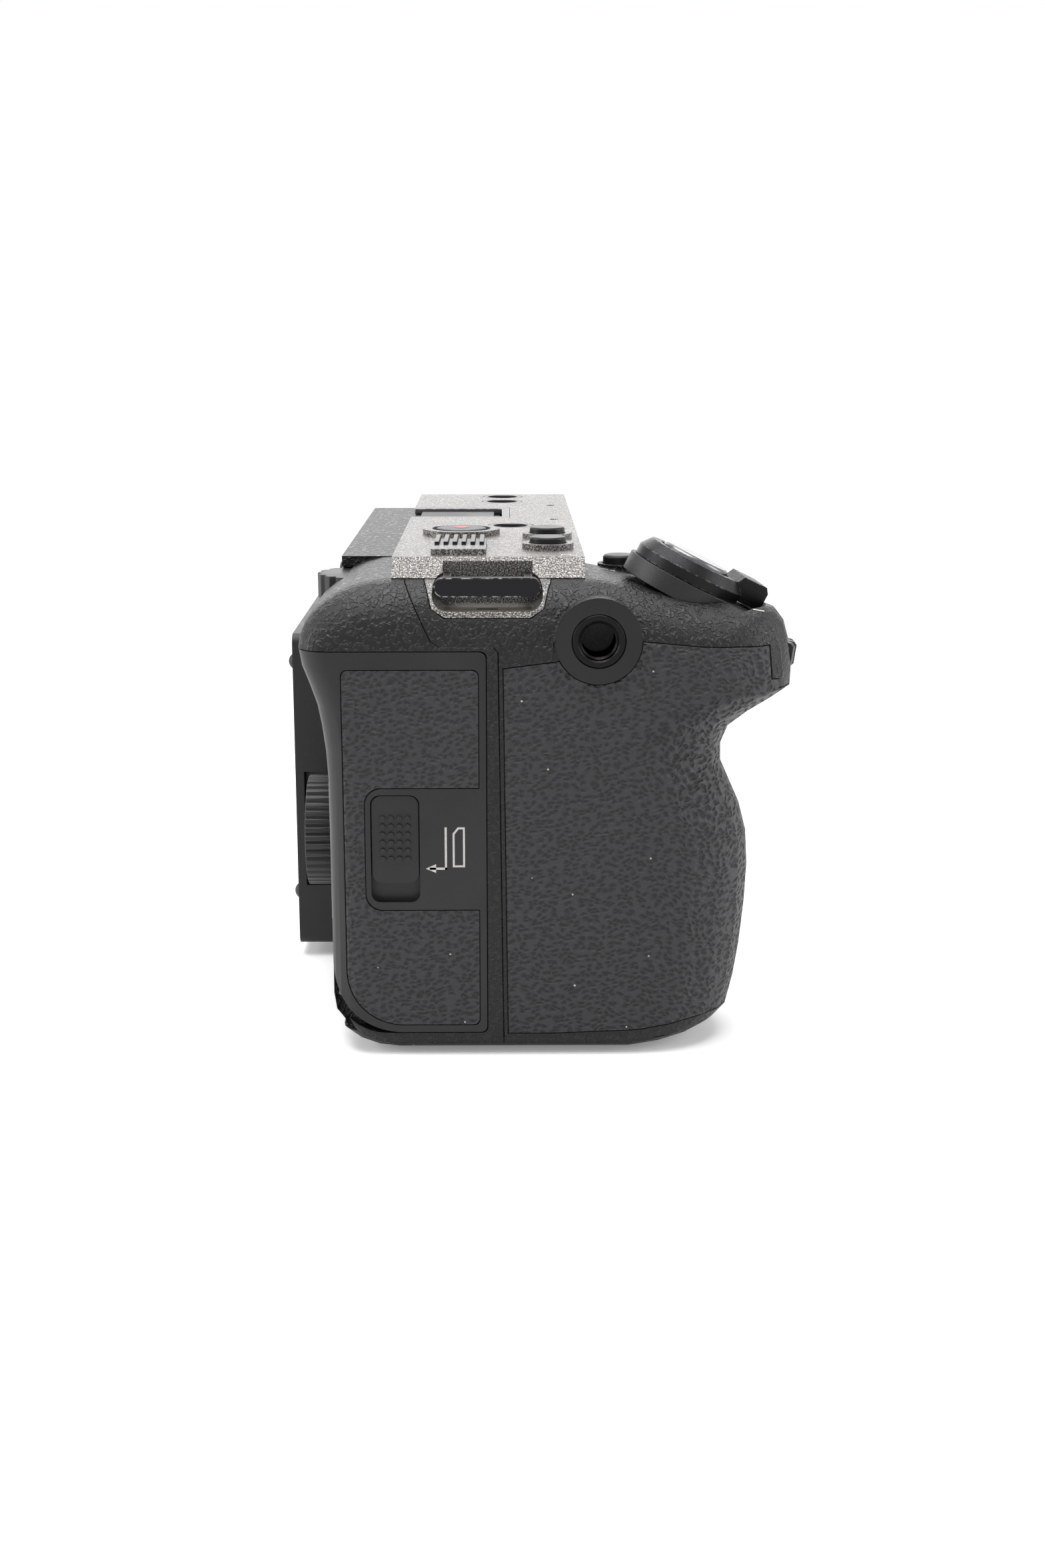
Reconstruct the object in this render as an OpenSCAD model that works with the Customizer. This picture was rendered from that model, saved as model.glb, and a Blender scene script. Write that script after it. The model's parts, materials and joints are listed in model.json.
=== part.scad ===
// Compact box-style digital cinema camera with a side grip. Lengths are millimetres.
// The lens looks along -Y, the grip is at -X and the ports are at +X.
// The origin is the mouth of the tripod socket, straight under the lens axis.

/* [Body] */
// Lens axis to the outer face of the grip
grip_side = 78; // [77:0.5:84]
// Lens axis to the face with the ports
port_side = 51.7; // [50.5:0.1:56]
// Height from the base to the top of the deck
body_h = 77.8; // [77:0.2:84]
// Tripod axis forward to the front face
front_y = 22; // [20.5:0.5:24]
// Tripod axis back to the rear face
back_y = 16.2; // [15.6:0.1:19]
// Thickness of the moulded shells
wall = 1.6; // [1.2:0.1:2.2]
// Height of the lens axis above the base
lens_z = 37; // [35:0.5:39]
// Radius of the body's upright corners at the port side
corner_r = 6; // [3:0.5:8]

/* [Grip] */
// Lens axis to the finger side of the grip
grip_root = 46; // [44:0.5:48]
// Lens axis to the ridge line of the grip
grip_mid = 62; // [60:0.5:64]
// Tripod axis forward to the fullest part of the grip
grip_reach = 50.6; // [48:0.2:56]
// Height of the seam over the card door
shoulder_z = 64.8; // [62:0.2:66]
// How far the rear shoulder stands behind the rear face
tail_flare = 4.2; // [2:0.2:5]
// Thickness of the rubber skins
skin_t = 0.6; // [0.4:0.1:0.9]
// Thickness of the card door
door_t = 2.4; // [2.2:0.1:3]

/* [Deck] */
// Lens axis to the deck's end over the grip
deck_end = 66.5; // [65:0.5:68]
// Lens axis to the deck's end over the ports
deck_port_end = 45; // [43:0.5:47]
// Tripod axis forward to the deck's front edge
deck_front = 23.8; // [22.5:0.1:25]
// Tripod axis back to the deck's rear edge
deck_back = 6.2; // [5.4:0.2:8]
// Height of the deck's sloping ends
deck_rise = 3; // [2.6:0.1:4]

/* [Lens mount] */
// Radius of the mount's throat
throat_r = 23.05; // [22:0.05:24]
// Outer radius of the mount ring
mount_r = 28.6; // [27.5:0.1:29.5]
// How far the mount ring stands out of the front face
mount_rise = 2.2; // [1.6:0.1:3]

/* [Monitor] */
// Lens axis to the monitor's free edge
monitor_free = 28; // [24:0.5:29]
// Height of the monitor's upper edge
monitor_top = 59.5; // [56:0.5:60.5]
// Height of the monitor's lower edge
monitor_low = 2; // [1:0.5:6]
// Tripod axis back to the monitor's glass side
monitor_y = 26.4; // [25.5:0.1:28]
// Thickness of the monitor
monitor_t = 7.8; // [6.5:0.1:8]

/* [Battery] */
// Battery width across the grip
battery_w = 22.7; // [20:0.1:23]
// Battery depth from front to back
battery_d = 38.7; // [34:0.1:39]
// Battery height
battery_h = 51.7; // [46:0.1:52]

/* [Threads] */
// Bore radius of the accessory and tripod threads
thread_r = 2.6; // [2.4:0.05:3.2]
// Outer radius of the thread inserts
insert_r = 4.1; // [3.8:0.1:4.4]

/* [Hidden] */
$fn = 48;

// Colours of the finishes
black = [0.17, 0.18, 0.19];
satin = [0.13, 0.135, 0.145];
grey = [0.42, 0.41, 0.41];
rubber = [0.2, 0.21, 0.22];
steel = [0.7, 0.71, 0.72];

// Clearances, and the overrun that every cut takes past a face
seam = 0.15;
gap = 0.3;
fit = 0.05;
over = 1;
press = 0.6;
deck_z = body_h - deck_rise;
crest_back = back_y + tail_flare;

// Plain helpers: slabs along each axis, rounded rectangles, blocks and rods
module slab_x(x0, x1) {
    translate([x0, 0, 0]) rotate([90, 0, 90]) linear_extrude(x1 - x0) children();
}
module slab_y(y0, y1) {
    translate([0, y1, 0]) rotate([90, 0, 0]) linear_extrude(y1 - y0) children();
}
module slab_z(z0, z1) {
    translate([0, 0, z0]) linear_extrude(z1 - z0) children();
}
module rect(lo, hi) {
    translate(lo) square(hi - lo);
}
module rr(lo, hi, r) {
    rect([lo[0] + r, lo[1]], [hi[0] - r, hi[1]]);
    rect([lo[0], lo[1] + r], [hi[0], hi[1] - r]);
    for (x = [lo[0] + r, hi[0] - r]) {
        for (y = [lo[1] + r, hi[1] - r]) {
            translate([x, y]) circle(r);
        }
    }
}
module block(lo, hi) {
    translate(lo) cube(hi - lo);
}
module rod_x(x0, x1, y, z, r) {
    translate([x0, y, z]) rotate([0, 90, 0]) cylinder(h = x1 - x0, r = r);
}
module rod_y(y0, y1, x, z, r) {
    translate([x, y0, z]) rotate([-90, 0, 0]) cylinder(h = y1 - y0, r = r);
}
module rod_z(z0, z1, x, y, r) {
    translate([x, y, z0]) cylinder(h = z1 - z0, r = r);
}
// Round cap on z = 0 with a rounded upper edge
module puck(r, h, edge) {
    rotate_extrude() {
        square([r - edge, h]);
        square([r, h - edge]);
        translate([r - edge, h - edge]) circle(edge);
    }
}
// Outline of a wheel with V notches round its rim
module notched(r, depth, count) {
    difference() {
        circle(r);
        for (i = [0 : count - 1]) {
            rotate(i * 360 / count) translate([r, 0]) circle(depth, $fn = 4);
        }
    }
}

// Smooth curve through a table of [place, value] pairs
function span_of(t, x, i = 0) = i >= len(t) - 2 || x < t[i + 1][0] ? i : span_of(t, x, i + 1);
function rise(t, a, b) = (t[b][1] - t[a][1]) / (t[b][0] - t[a][0]);
function lean(t, i) = rise(t, max(i - 1, 0), min(i + 1, len(t) - 1));
function smooth_at(t, x) =
    let (i = span_of(t, x), w = t[i + 1][0] - t[i][0], u = (x - t[i][0]) / w)
    let (a = lean(t, i) * w, b = lean(t, i + 1) * w, d = t[i + 1][1] - t[i][1])
    t[i][1] + u * (a + u * (3 * d - 2 * a - b + u * (a + b - 2 * d)));

// Form of the grip side. Front profile: reach as a share of grip_reach, by height as a
// share of body_h. Rear profile: share of tail_flare, by height as a share of shoulder_z.
nose_shares = [[0.02, 0.922], [0.072, 0.947], [0.19, 0.98], [0.34, 0.998], [0.43, 0.992],
    [0.51, 0.957], [0.57, 0.911], [0.61, 0.903], [0.66, 0.93], [0.70, 1.014], [0.74, 1.113],
    [0.766, 1.122], [0.835, 1.109], [0.87, 1.093]];
tail_shares = [[0.11, 0], [0.69, 0.02], [0.77, 0.12], [0.857, 0.33], [0.91, 0.6],
    [0.957, 0.88], [1, 1]];
nose_level_shares = [0.13, 0.2, 0.28, 0.36, 0.43, 0.49, 0.54, 0.58, 0.62, 0.66, 0.69, 0.72,
    0.745, 0.78, 0.83, 0.87];
tail_level_shares = [0.96, 0.915, 0.865, 0.81, 0.75, 0.68, 0.5, 0.3, 0.13];
nose_round = 15;
nose_side = 13;
tail_round = 4.5;
tail_side = 5;
foot_round = 4;
crest_side = 9;
crest_share = 0.98;
crest_start = 6.5;
heel_len = 10.7;
heel_h = 7.5;
toe_start = 31;
toe_h = 7;
brow_len = 3.3;
brow_h = 2.5;
slope_start = deck_front + 2.2;
brow_fall = 6;
shoulder_h = deck_z - shoulder_z;
brow_z = 0.87 * body_h;
function nose_y(z) = -grip_reach * smooth_at(nose_shares, z / body_h);
function tail_y(z) = back_y + tail_flare * smooth_at(tail_shares, z / shoulder_z);
function mix(a, b, s) = a + (b - a) * s;
toe_len = -nose_y(toe_h) - toe_start;

// Side outline of the grip: [y, z, inward normal in y and z, shift in y and z at the outer
// face, length of the rounding along x]
crest_drop = shoulder_h * crest_share;
brow_share = 0.72;
function brow_drop(z) = brow_fall * max(0, (z / body_h - brow_share) / (brow_z / body_h - brow_share));
outline = concat(
    [for (a = [90 : -11.25 : 0])
        [mix(crest_start, crest_back, cos(a)), shoulder_z + shoulder_h * sin(a), -cos(a), -sin(a),
            -tail_round * cos(a), -crest_drop * sin(a), mix(tail_side, crest_side, sin(a))]],
    [for (s = tail_level_shares) let (z = s * shoulder_z)
        [tail_y(z), z, -1, 0, -tail_round, 0, tail_side]],
    [for (a = [-15 : -18.75 : -90])
        [back_y - heel_len + heel_len * cos(a), heel_h + heel_h * sin(a), -cos(a), -sin(a),
            -tail_round * cos(a), -foot_round * sin(a), tail_side]],
    [for (a = [-90 : -18.75 : -165])
        [-toe_start + toe_len * cos(a), toe_h + toe_h * sin(a), -cos(a), -sin(a),
            -nose_round * cos(a), -foot_round * sin(a), mix(tail_side, nose_side, -cos(a))]],
    [for (s = nose_level_shares) let (z = s * body_h)
        [nose_y(z), z, 1, 0, nose_round, -brow_drop(z), nose_side]],
    [[nose_y(brow_z) + 0.4 * brow_len, brow_z + 0.7 * brow_h, 0.7, -0.7,
        0.96 * nose_round, -brow_fall, nose_side],
     [nose_y(brow_z) + brow_len, brow_z + brow_h, 0.3, -0.95,
        0.9 * nose_round, -brow_fall, mix(nose_side, crest_side, 0.5)],
     [-slope_start, deck_z, 0, -1, 0, -crest_drop, crest_side]]);

// Rings of the loft: from the flat outer face round to the ridge, then round to the root
side_angles = [0, 20, 40, 58, 74, 90];
root_angles = [0, 25, 48, 70, 90];
loft_back = 40;
function side_ring(a, t) = [for (p = outline) let (d = 1 - sin(a))
    [t - grip_side + (p[6] - t) * (1 - cos(a)),
        p[0] + mix(p[2] * t, p[4], d), p[1] + mix(p[3] * t, p[5], d)]];
function root_ring(a, t) = [for (p = outline) let (y = p[0] + p[2] * t)
    [-grip_mid + (grip_mid - grip_root - t) * sin(a),
        y < -front_y ? -front_y + (y + front_y) * cos(a) : y, p[1] + p[3] * t]];
function back_ring(t) = [for (p = root_ring(90, t)) [-loft_back, p[1], p[2]]];
function ring_points(t) = concat([for (a = side_angles) each side_ring(a, t)],
    [for (a = root_angles) each root_ring(a, t)], back_ring(t));
eye_y = 15;
eye_z = 50;
function cap_centres(t) = [[t - grip_side, -eye_y, eye_z], [-loft_back, -eye_y, eye_z]];
// Solid of the grip side, drawn in by t on every outer face, closed by a fan at each end
module grip_form(t = 0) {
    n = len(outline);
    rings = len(side_angles) + len(root_angles) + 1;
    sides = [for (k = [0 : rings - 2]) for (i = [0 : n - 1]) let (j = (i + 1) % n)
        each [[k * n + i, k * n + j, k * n + n + j], [k * n + i, k * n + n + j, k * n + n + i]]];
    last = (rings - 1) * n;
    caps = [for (i = [0 : n - 1]) let (j = (i + 1) % n)
        each [[j, i, last + n], [last + i, last + j, last + n + 1]]];
    polyhedron(points = concat(ring_points(t), cap_centres(t)), convexity = 6,
        faces = concat(sides, caps));
}

// Seam between the grip shell and the rear cover, top to bottom, moved back by g
seam_y = 10.4;
seam_step = 8.3;
function seam_line(g) = [[deck_back + g, body_h + over], [deck_back - 2.8 + g, deck_z - 1.4],
    [seam_step - seam_y + 2 + g, shoulder_z + 1.5], [seam_step - seam_y + 0.6 + g, shoulder_z + 0.6],
    [-seam_y + 0.7 + g, shoulder_z + 0.6], [-seam_y + g, shoulder_z - 0.2],
    [-seam_y - 0.8 + g, -over]];
far_y = grip_reach + 4 * over + 10;
module front_of_seam() {
    polygon(concat(seam_line(0), [[-far_y, -over], [-far_y, body_h + over]]));
}
module behind_seam() {
    polygon(concat(seam_line(seam), [[far_y, -over], [far_y, body_h + over]]));
}

// Side thread and its boss
side_thread_y = 25.6;
side_thread_z = 66.3;
boss_r = 6.6;
boss_depth = 7;
boss_proud = 0.2;
insert_len = 9;
insert_proud = 0.3;
lip_r = 3;
lip_depth = 0.6;
// Tube of a thread insert along +Z with its mouth at z = 0
module insert(len) {
    difference() {
        translate([0, 0, -len]) cylinder(h = len, r = insert_r);
        translate([0, 0, -len + wall]) cylinder(h = len, r = thread_r);
        translate([0, 0, -lip_depth]) cylinder(h = lip_depth + over, r = lip_r);
    }
}
module side_thread_right() {
    color(steel) translate([-grip_side - insert_proud, -side_thread_y, side_thread_z])
        rotate([0, -90, 0]) insert(insert_len);
}

// Leather skin of the grip
leather_top = 62.2;
leather_head = 65.4;
leather_low = 3.4;
leather_lip = 58.2;
leather_edge = 0.6;
leather_rise = 1;
leather_shoulder = 0.9;
leather_head_run = 9;
leather_head_out = 1.6;
leather_head_fall = 0.4;
leather_lip_out = 2;
leather_lip_rise = 1.6;
leather_toe_rise = 2.4;
leather_toe_run = 8;
leather_toe_h = 2;
leather_sole_run = 18;
leather_sole_h = 0.6;
leather_heel_run = 8;
leather_heel_in = 0.7;
module leather_outline(g) {
    difference() {
        polygon([[-seam_y - leather_edge - g, leather_top - g],
            [-side_thread_y + boss_r, leather_top + leather_rise - g],
            [-side_thread_y - boss_r, leather_head + leather_shoulder - g],
            [-grip_reach + leather_head_run, leather_head - g],
            [-grip_reach - leather_head_out + g, leather_head - leather_head_fall - g],
            [-grip_reach - leather_lip_out + g, leather_lip + leather_lip_rise - g],
            [-far_y, leather_lip - g],
            [-far_y, leather_low + leather_toe_rise + g],
            [-grip_reach + leather_toe_run, leather_low + leather_toe_h + g],
            [-grip_reach + leather_sole_run, leather_low + leather_sole_h + g],
            [-seam_y - leather_heel_run, leather_low + g],
            [-seam_y - leather_edge - leather_heel_in - g, leather_low + g]]);
        translate([-side_thread_y, side_thread_z]) circle(boss_r + g);
    }
}
module leather_zone(g) {
    difference() {
        slab_x(-grip_side - over, -grip_root - 2 * skin_t) leather_outline(g);
        block([-dial_x - dial_r - over, -far_y, leather_lip - g], [-grip_root, 0, body_h]);
    }
}

// Power lever turret on the head of the grip, leaning forward
turret_x = 62.5;
turret_y = 40;
turret_z = 74;
turret_tilt = 27;
turret_r = 9.6;
ring_r = 8.9;
ring_top_r = 7.6;
ring_h = 3.2;
ring_bore = 6;
button_r = 5.6;
button_rise = 0.7;
shutter_travel = 1.2;
module on_turret() {
    translate([-turret_x, -turret_y, turret_z]) rotate([turret_tilt, 0, 0]) children();
}
turret_deep = 3;
stem_r = 2;

// Front dial, let into the head and leaning forward
dial_x = 62;
dial_y = 48;
dial_z = 61.2;
dial_r = 9.4;
dial_h = 4;
dial_tilt = 8;
dial_teeth = 22;
dial_notch = 0.8;
dial_pin_r = 1.2;
dial_pin_over = 1.5;
module on_dial() {
    translate([-dial_x, -dial_y, dial_z]) rotate([dial_tilt, 0, 0]) children();
}

// Battery and its bay
battery_x = 63.3;
battery_y = 17.2;
battery_lift = 2.6;
battery_corner = 3;
module battery_plan(g) {
    translate([-battery_x, -battery_y])
        rr([-battery_w / 2 - g, -battery_d / 2 - g], [battery_w / 2 + g, battery_d / 2 + g],
            battery_corner);
}
battery_top = battery_lift + battery_h;
bay_head = 0.6;

// Button on the head beside the deck
head_button_x = 49.6;
head_button_y = 30.2;
head_button_z = 76.2;
head_collar_r = 3.6;
head_collar_h = 1.4;
head_cap_r = 2.7;
head_cap_h = 3.6;

head_well = 9;

module grip_shell() {
    color(black) difference() {
        union() {
            intersection() {
                grip_form();
                slab_x(-grip_side - over, -grip_root - seam) front_of_seam();
            }
            rod_x(-grip_side - boss_proud, -grip_side + boss_depth, -side_thread_y, side_thread_z,
                boss_r);
            rod_z(head_button_z - head_well, head_button_z - head_collar_h, -head_button_x,
                -head_button_y, head_collar_r);
        }
        difference() {
            leather_zone(0);
            grip_form(skin_t);
        }
        slab_z(-over, battery_top + bay_head) battery_plan(gap);
        rod_x(-grip_side - over, -grip_side + insert_len + gap, -side_thread_y, side_thread_z,
            insert_r + fit);
        on_turret() translate([0, 0, -turret_deep]) cylinder(h = turret_deep + over, r = turret_r + fit);
        on_turret() cylinder(h = 3 * ring_h, r = lug_sweep);
        on_dial() translate([0, 0, -gap]) cylinder(h = dial_h + 2 * gap, r = dial_r + gap);
        on_dial() translate([0, 0, -dial_pin_over])
            cylinder(h = dial_h + 2 * dial_pin_over, r = dial_pin_r + fit);
        rod_z(head_button_z - head_cap_h - over, body_h, -head_button_x, -head_button_y,
            head_cap_r + seam);
        deck_space(seam);
        battery_door_space();
    }
}
module grip_leather() {
    color(rubber) difference() {
        intersection() {
            grip_form();
            leather_zone(seam);
        }
        grip_form(skin_t);
    }
}

module turret() {
    color(black) difference() {
        on_turret() translate([0, 0, -turret_deep]) cylinder(h = turret_deep, r = turret_r);
        on_turret() translate([0, 0, -turret_deep - over]) cylinder(h = turret_deep, r = stem_r + seam);
        on_turret() translate([0, 0, -shutter_travel - gap]) cylinder(h = turret_deep, r = button_r + seam);
    }
}
lug_reach = 12.4;
lug_w = 6.5;
lug_h = 4.4;
lug_angle = -78;
lug_root = 7;
lug_sweep = norm([lug_reach, lug_w / 2]) + gap;
lug_lift = 0.5;
lug_shares = [0.8, 0.88, 0.12];
module power_lever() {
    color(satin) difference() {
        on_turret() {
            translate([0, 0, fit]) rotate_extrude() difference() {
                polygon([[ring_bore, 0], [ring_r, 0], [ring_r, ring_h / 2], [ring_top_r, ring_h],
                    [ring_bore, ring_h]]);
                square([button_r + seam, ring_h + over]);
            }
            rotate(lug_angle) rotate([90, 0, 0]) translate([0, 0, -lug_w / 2]) linear_extrude(lug_w)
                polygon([[lug_root, lug_lift], [lug_reach, lug_lift], [lug_reach, lug_h * lug_shares[0]],
                    [mix(lug_root, lug_reach, lug_shares[1]), lug_h],
                    [mix(lug_root, lug_reach, lug_shares[2]), lug_h], [lug_root, ring_h]]);
        }
    }
}
module shutter_button() {
    color(satin) on_turret() {
        translate([0, 0, shutter_travel + gap - turret_deep]) cylinder(h = turret_deep, r = stem_r);
        puck(button_r, ring_h + button_rise, button_rise);
    }
}
module grip_button() {
    color(satin) translate([-head_button_x, -head_button_y, head_button_z - head_cap_h])
        puck(head_cap_r, head_cap_h, head_cap_r / 5);
}
module front_dial() {
    color(satin) on_dial() linear_extrude(dial_h) difference() {
        notched(dial_r, dial_notch, dial_teeth);
        circle(dial_pin_r + fit);
    }
}
module front_dial_pin() {
    color(steel) on_dial() translate([0, 0, -dial_pin_over])
        cylinder(h = dial_h + 2 * dial_pin_over, r = dial_pin_r);
}

// Card door on the rear half of the grip side
door_low = 3.6;
door_front = 8.6;
door_hinge_x = 74.3;
door_hinge_y = 13.9;
door_pin_r = 0.6;
knuckle_r = 1.3;
knuckle_h = 6;
knuckle_z = 9;
swing_r = 3.1;
scoop_r = 6.9;
scoop_z = 46;
door_corner = 9;
door_ease_share = 16;
module door_outline(g) {
    r = door_corner + door_ease_share * g;
    intersection() {
        rr([-door_front + g, door_low + g], [far_y, shoulder_z - g], over);
        union() {
            rect([-far_y, door_low + r], [far_y, body_h]);
            rect([-far_y, 0], [back_y - r, body_h]);
            translate([back_y - r, door_low + r]) circle(r - g);
        }
    }
}
module door_zone(g) {
    slab_x(-grip_side - over, -grip_side + tail_side - g) door_outline(g);
}
patch_top = 62;
patch_low = 4.9;
patch_front = 7.4;
patch_back = 13.7;
plate_top = 43.4;
plate_low = 24;
plate_back = 10.3;
plate_r = 2.6;
module door_patch(g) {
    difference() {
        intersection() {
            rr([-patch_front + g, patch_low + g], [patch_back - g, patch_top - g], over);
            union() {
                rect([-far_y, patch_low + door_corner], [far_y, body_h]);
                rect([-far_y, 0], [patch_back - door_corner, body_h]);
                translate([patch_back - door_corner, patch_low + door_corner])
                    circle(door_corner - g);
            }
        }
        rr([-far_y, plate_low - g], [plate_back + g, plate_top + g], plate_r);
    }
}
window_front = 1.9;
window_back = 9.5;
window_low = 25.2;
window_top = 42.4;
window_depth = 1.5;
window_r = 1.5;
latch_len = 14;
latch_travel = 3;
module door_knuckle(z, r) {
    rod_z(z, z + knuckle_h, -door_hinge_x, door_hinge_y, r);
}
top_knuckle_z = shoulder_z - knuckle_z - knuckle_h;
module card_door() {
    color(black) difference() {
        union() {
            difference() {
                intersection() {
                    grip_form();
                    door_zone(seam);
                }
                difference() {
                    grip_form(door_t);
                    for (z = [knuckle_z, top_knuckle_z]) {
                        door_knuckle(z, knuckle_r);
                    }
                }
            }
            for (z = [knuckle_z, top_knuckle_z]) {
                door_knuckle(z, knuckle_r);
            }
        }
        difference() {
            slab_x(-grip_side - over, -grip_side + tail_side) door_patch(0);
            grip_form(skin_t);
        }
        slab_x(-grip_side - over, -grip_side + window_depth)
            rr([window_front, window_low], [window_back, window_top], window_r);
        rod_z(door_low - over, shoulder_z + over, -door_hinge_x, door_hinge_y, door_pin_r + fit);
        for (z = [knuckle_z + knuckle_h, top_knuckle_z - knuckle_h]) {
            rod_z(z - gap, z + knuckle_h + gap, -door_hinge_x, door_hinge_y, knuckle_r + gap);
            block([-door_hinge_x, door_hinge_y - knuckle_r - gap, z - gap],
                [-door_hinge_x + far_y, back_y + over, z + knuckle_h + gap]);
        }
    }
}
module card_door_leather() {
    color(rubber) difference() {
        intersection() {
            grip_form();
            slab_x(-grip_side - over, -grip_side + tail_side) door_patch(seam);
        }
        grip_form(skin_t);
    }
}
bump_r = 0.45;
bump_step = 1.3;
module card_door_latch() {
    color(black) {
        difference() {
            slab_x(-grip_side + skin_t / 2, -grip_side + window_depth)
                rr([window_front + seam, window_top - seam - latch_len],
                    [window_back - seam, window_top - seam], window_r);
        }
        for (i = [-1.5 : 1.5]) {
            for (j = [-2.5 : 2.5]) {
                rod_x(-grip_side, -grip_side + skin_t, (window_front + window_back) / 2 + i * bump_step,
                    window_top - latch_len / 2 + j * bump_step, bump_r);
            }
        }
    }
}
module card_door_pin() {
    color(steel) rod_z(knuckle_z - over, shoulder_z - knuckle_z + over, -door_hinge_x, door_hinge_y,
        door_pin_r);
}

// Card slots behind the card door
slots_front = -3.6;
slots_back = 11;
slots_mouth = 71.5;
slots_depth = 27;
slot_h = 24.6;
slot_t = 2.4;
slot_gap = 2;
slots_low = 7;
module slots_space(g) {
    block([-slots_mouth - g, -slots_front - g, slots_low - g],
        [-slots_mouth + slots_depth + g, slots_back + g, slots_low + 2 * slot_h + 3 * slot_gap + g]);
}
module card_slots() {
    color(satin) difference() {
        slots_space(0);
        for (i = [0, 1]) {
            z = slots_low + slot_gap + i * (slot_h + slot_gap);
            block([-slots_mouth - over, (slots_back - slots_front) / 2 - slot_t / 2, z],
                [-slots_mouth + slots_depth - wall, (slots_back - slots_front) / 2 + slot_t / 2,
                    z + slot_h]);
        }
    }
}

// Battery door in the foot of the grip
base_door_t = 2.2;
base_door_x = 76.4;
base_hinge_x = 50;
base_hinge_z = 1.25;
base_knuckle_r = 1.1;
base_pin_r = 0.55;
base_door_front = battery_y + battery_d / 2 + 1.2;
base_door_back = battery_d / 2 - battery_y + 1.2;
module base_door_form(g) {
    block([-base_door_x - g, -base_door_front - g, -over],
        [-base_hinge_x, base_door_back + g, base_door_t + g]);
    rod_y(-base_door_front - g, base_door_back + g, -base_hinge_x, base_hinge_z, base_knuckle_r + g);
}
module battery_door_space() {
    base_door_form(seam);
    rod_y(-base_door_front - seam, base_door_back + seam, -base_hinge_x, base_hinge_z, base_hinge_z + seam);
    block([-base_hinge_x - over, -base_door_front - seam, -over],
        [-base_hinge_x + base_hinge_z + seam, base_door_back + seam, base_hinge_z]);
    rod_y(-base_door_front - over - gap, base_door_back + over + gap, -base_hinge_x, base_hinge_z,
        base_pin_r + fit);
}
base_window = [9, 5];
base_latch_x = 71;
base_latch_travel = 2.5;
base_latch_t = 1;
module battery_door() {
    color(black) difference() {
        intersection() {
            base_door_form(0);
            grip_form();
        }
        rod_y(-far_y, far_y, -base_hinge_x, base_hinge_z, base_pin_r + fit);
        slab_z(-over, base_latch_t) translate([-base_latch_x, -battery_y])
            rr([-base_window[1] / 2, -base_window[0] / 2],
                [base_window[1] / 2 + base_latch_travel, base_window[0] / 2], over);
    }
}
module battery_door_latch() {
    color(satin) slab_z(seam, base_latch_t) translate([-base_latch_x, -battery_y])
        rr([-base_window[1] / 2 + seam, -base_window[0] / 2 + seam],
            [base_window[1] / 2 - seam, base_window[0] / 2 - seam], over);
}
module battery_door_pin() {
    color(steel) rod_y(-base_door_front - over, base_door_back + over, -base_hinge_x, base_hinge_z,
        base_pin_r);
}
contact_count = 5;
contact_w = 1.6;
contact_pitch = 3;
module battery_pack() {
    color(grey) difference() {
        slab_z(battery_lift, battery_top) battery_plan(0);
        for (i = [0 : contact_count - 1]) {
            translate([-battery_x + (i - (contact_count - 1) / 2) * contact_pitch, -battery_y,
                battery_top])
                cube([contact_w, 3 * contact_w, contact_w], center = true);
        }
    }
}

// Tabs of the deck that hold the strap lugs, and the space that they take in the shells
lug_mid = 8.7;
lug_tab_w = 19.6;
lug_tab_low_w = 13;
lug_tab_h = 5.1;
lug_rim = 0.9;
tab_shares = [0.94, 0.87];
module lug_tab(g) {
    w = lug_tab_w / 2 + g;
    low = lug_tab_low_w / 2 + g;
    translate([-lug_mid, deck_z]) polygon([[-w, over], [-w, 0],
        [-w * tab_shares[0], -lug_tab_h / 4], [-w * tab_shares[1], -0.75 * lug_tab_h],
        [-low, -lug_tab_h - g], [low, -lug_tab_h - g], [w * tab_shares[1], -0.75 * lug_tab_h],
        [w * tab_shares[0], -lug_tab_h / 4], [w, 0], [w, over]]);
}
tab_root = deck_end - 2.5;
port_tab_root = port_side - 7.5;
module deck_space(g) {
    slab_x(-grip_side - over, -tab_root + g) lug_tab(g);
}
module port_tab_space() {
    slab_x(port_tab_root - seam, port_side + over) lug_tab(seam);
}
bar_w = 16.3;
bar_h = 2.9;
bar_t = 1.7;
bar_x = 75;
port_bar_x = port_side + 0.6;
bar_z = 74.1;
leg_w = 1.2;
leg_in = 6.2;
notch_w = 13.9;
lug_back = deck_end + 0.6;
port_lug_back = deck_port_end + 1.2;
// Recess round a lug bar, drawn from its outline's plane
module recess_plan() {
    rr([-lug_mid - bar_w / 2 - gap, deck_z - lug_tab_h + lug_rim],
        [-lug_mid + bar_w / 2 + gap, bar_z + bar_h / 2 + seam], 0.8 * bar_h);
    rect([-lug_mid - notch_w / 2, bar_z], [-lug_mid + notch_w / 2, body_h + over]);
}
module bar_plan() {
    translate([-lug_mid, 0]) rr([-bar_w / 2, bar_z - bar_h / 2], [bar_w / 2, bar_z + bar_h / 2],
        0.48 * bar_h);
}
module leg_plan() {
    for (s = [-1, 1]) {
        translate([s * leg_in - lug_mid, bar_z])
            rect([-leg_w / 2, -bar_h / 2 + fit], [leg_w / 2, bar_h / 2 - fit]);
    }
}
module strap_lug_right() {
    color(satin) {
        slab_x(-bar_x, -bar_x + bar_t) bar_plan();
        slab_x(-bar_x + bar_t, -lug_back) leg_plan();
    }
}
module strap_lug_left() {
    color(satin) {
        slab_x(port_bar_x - bar_t, port_bar_x) bar_plan();
        slab_x(port_lug_back, port_bar_x - bar_t) leg_plan();
    }
}

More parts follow.
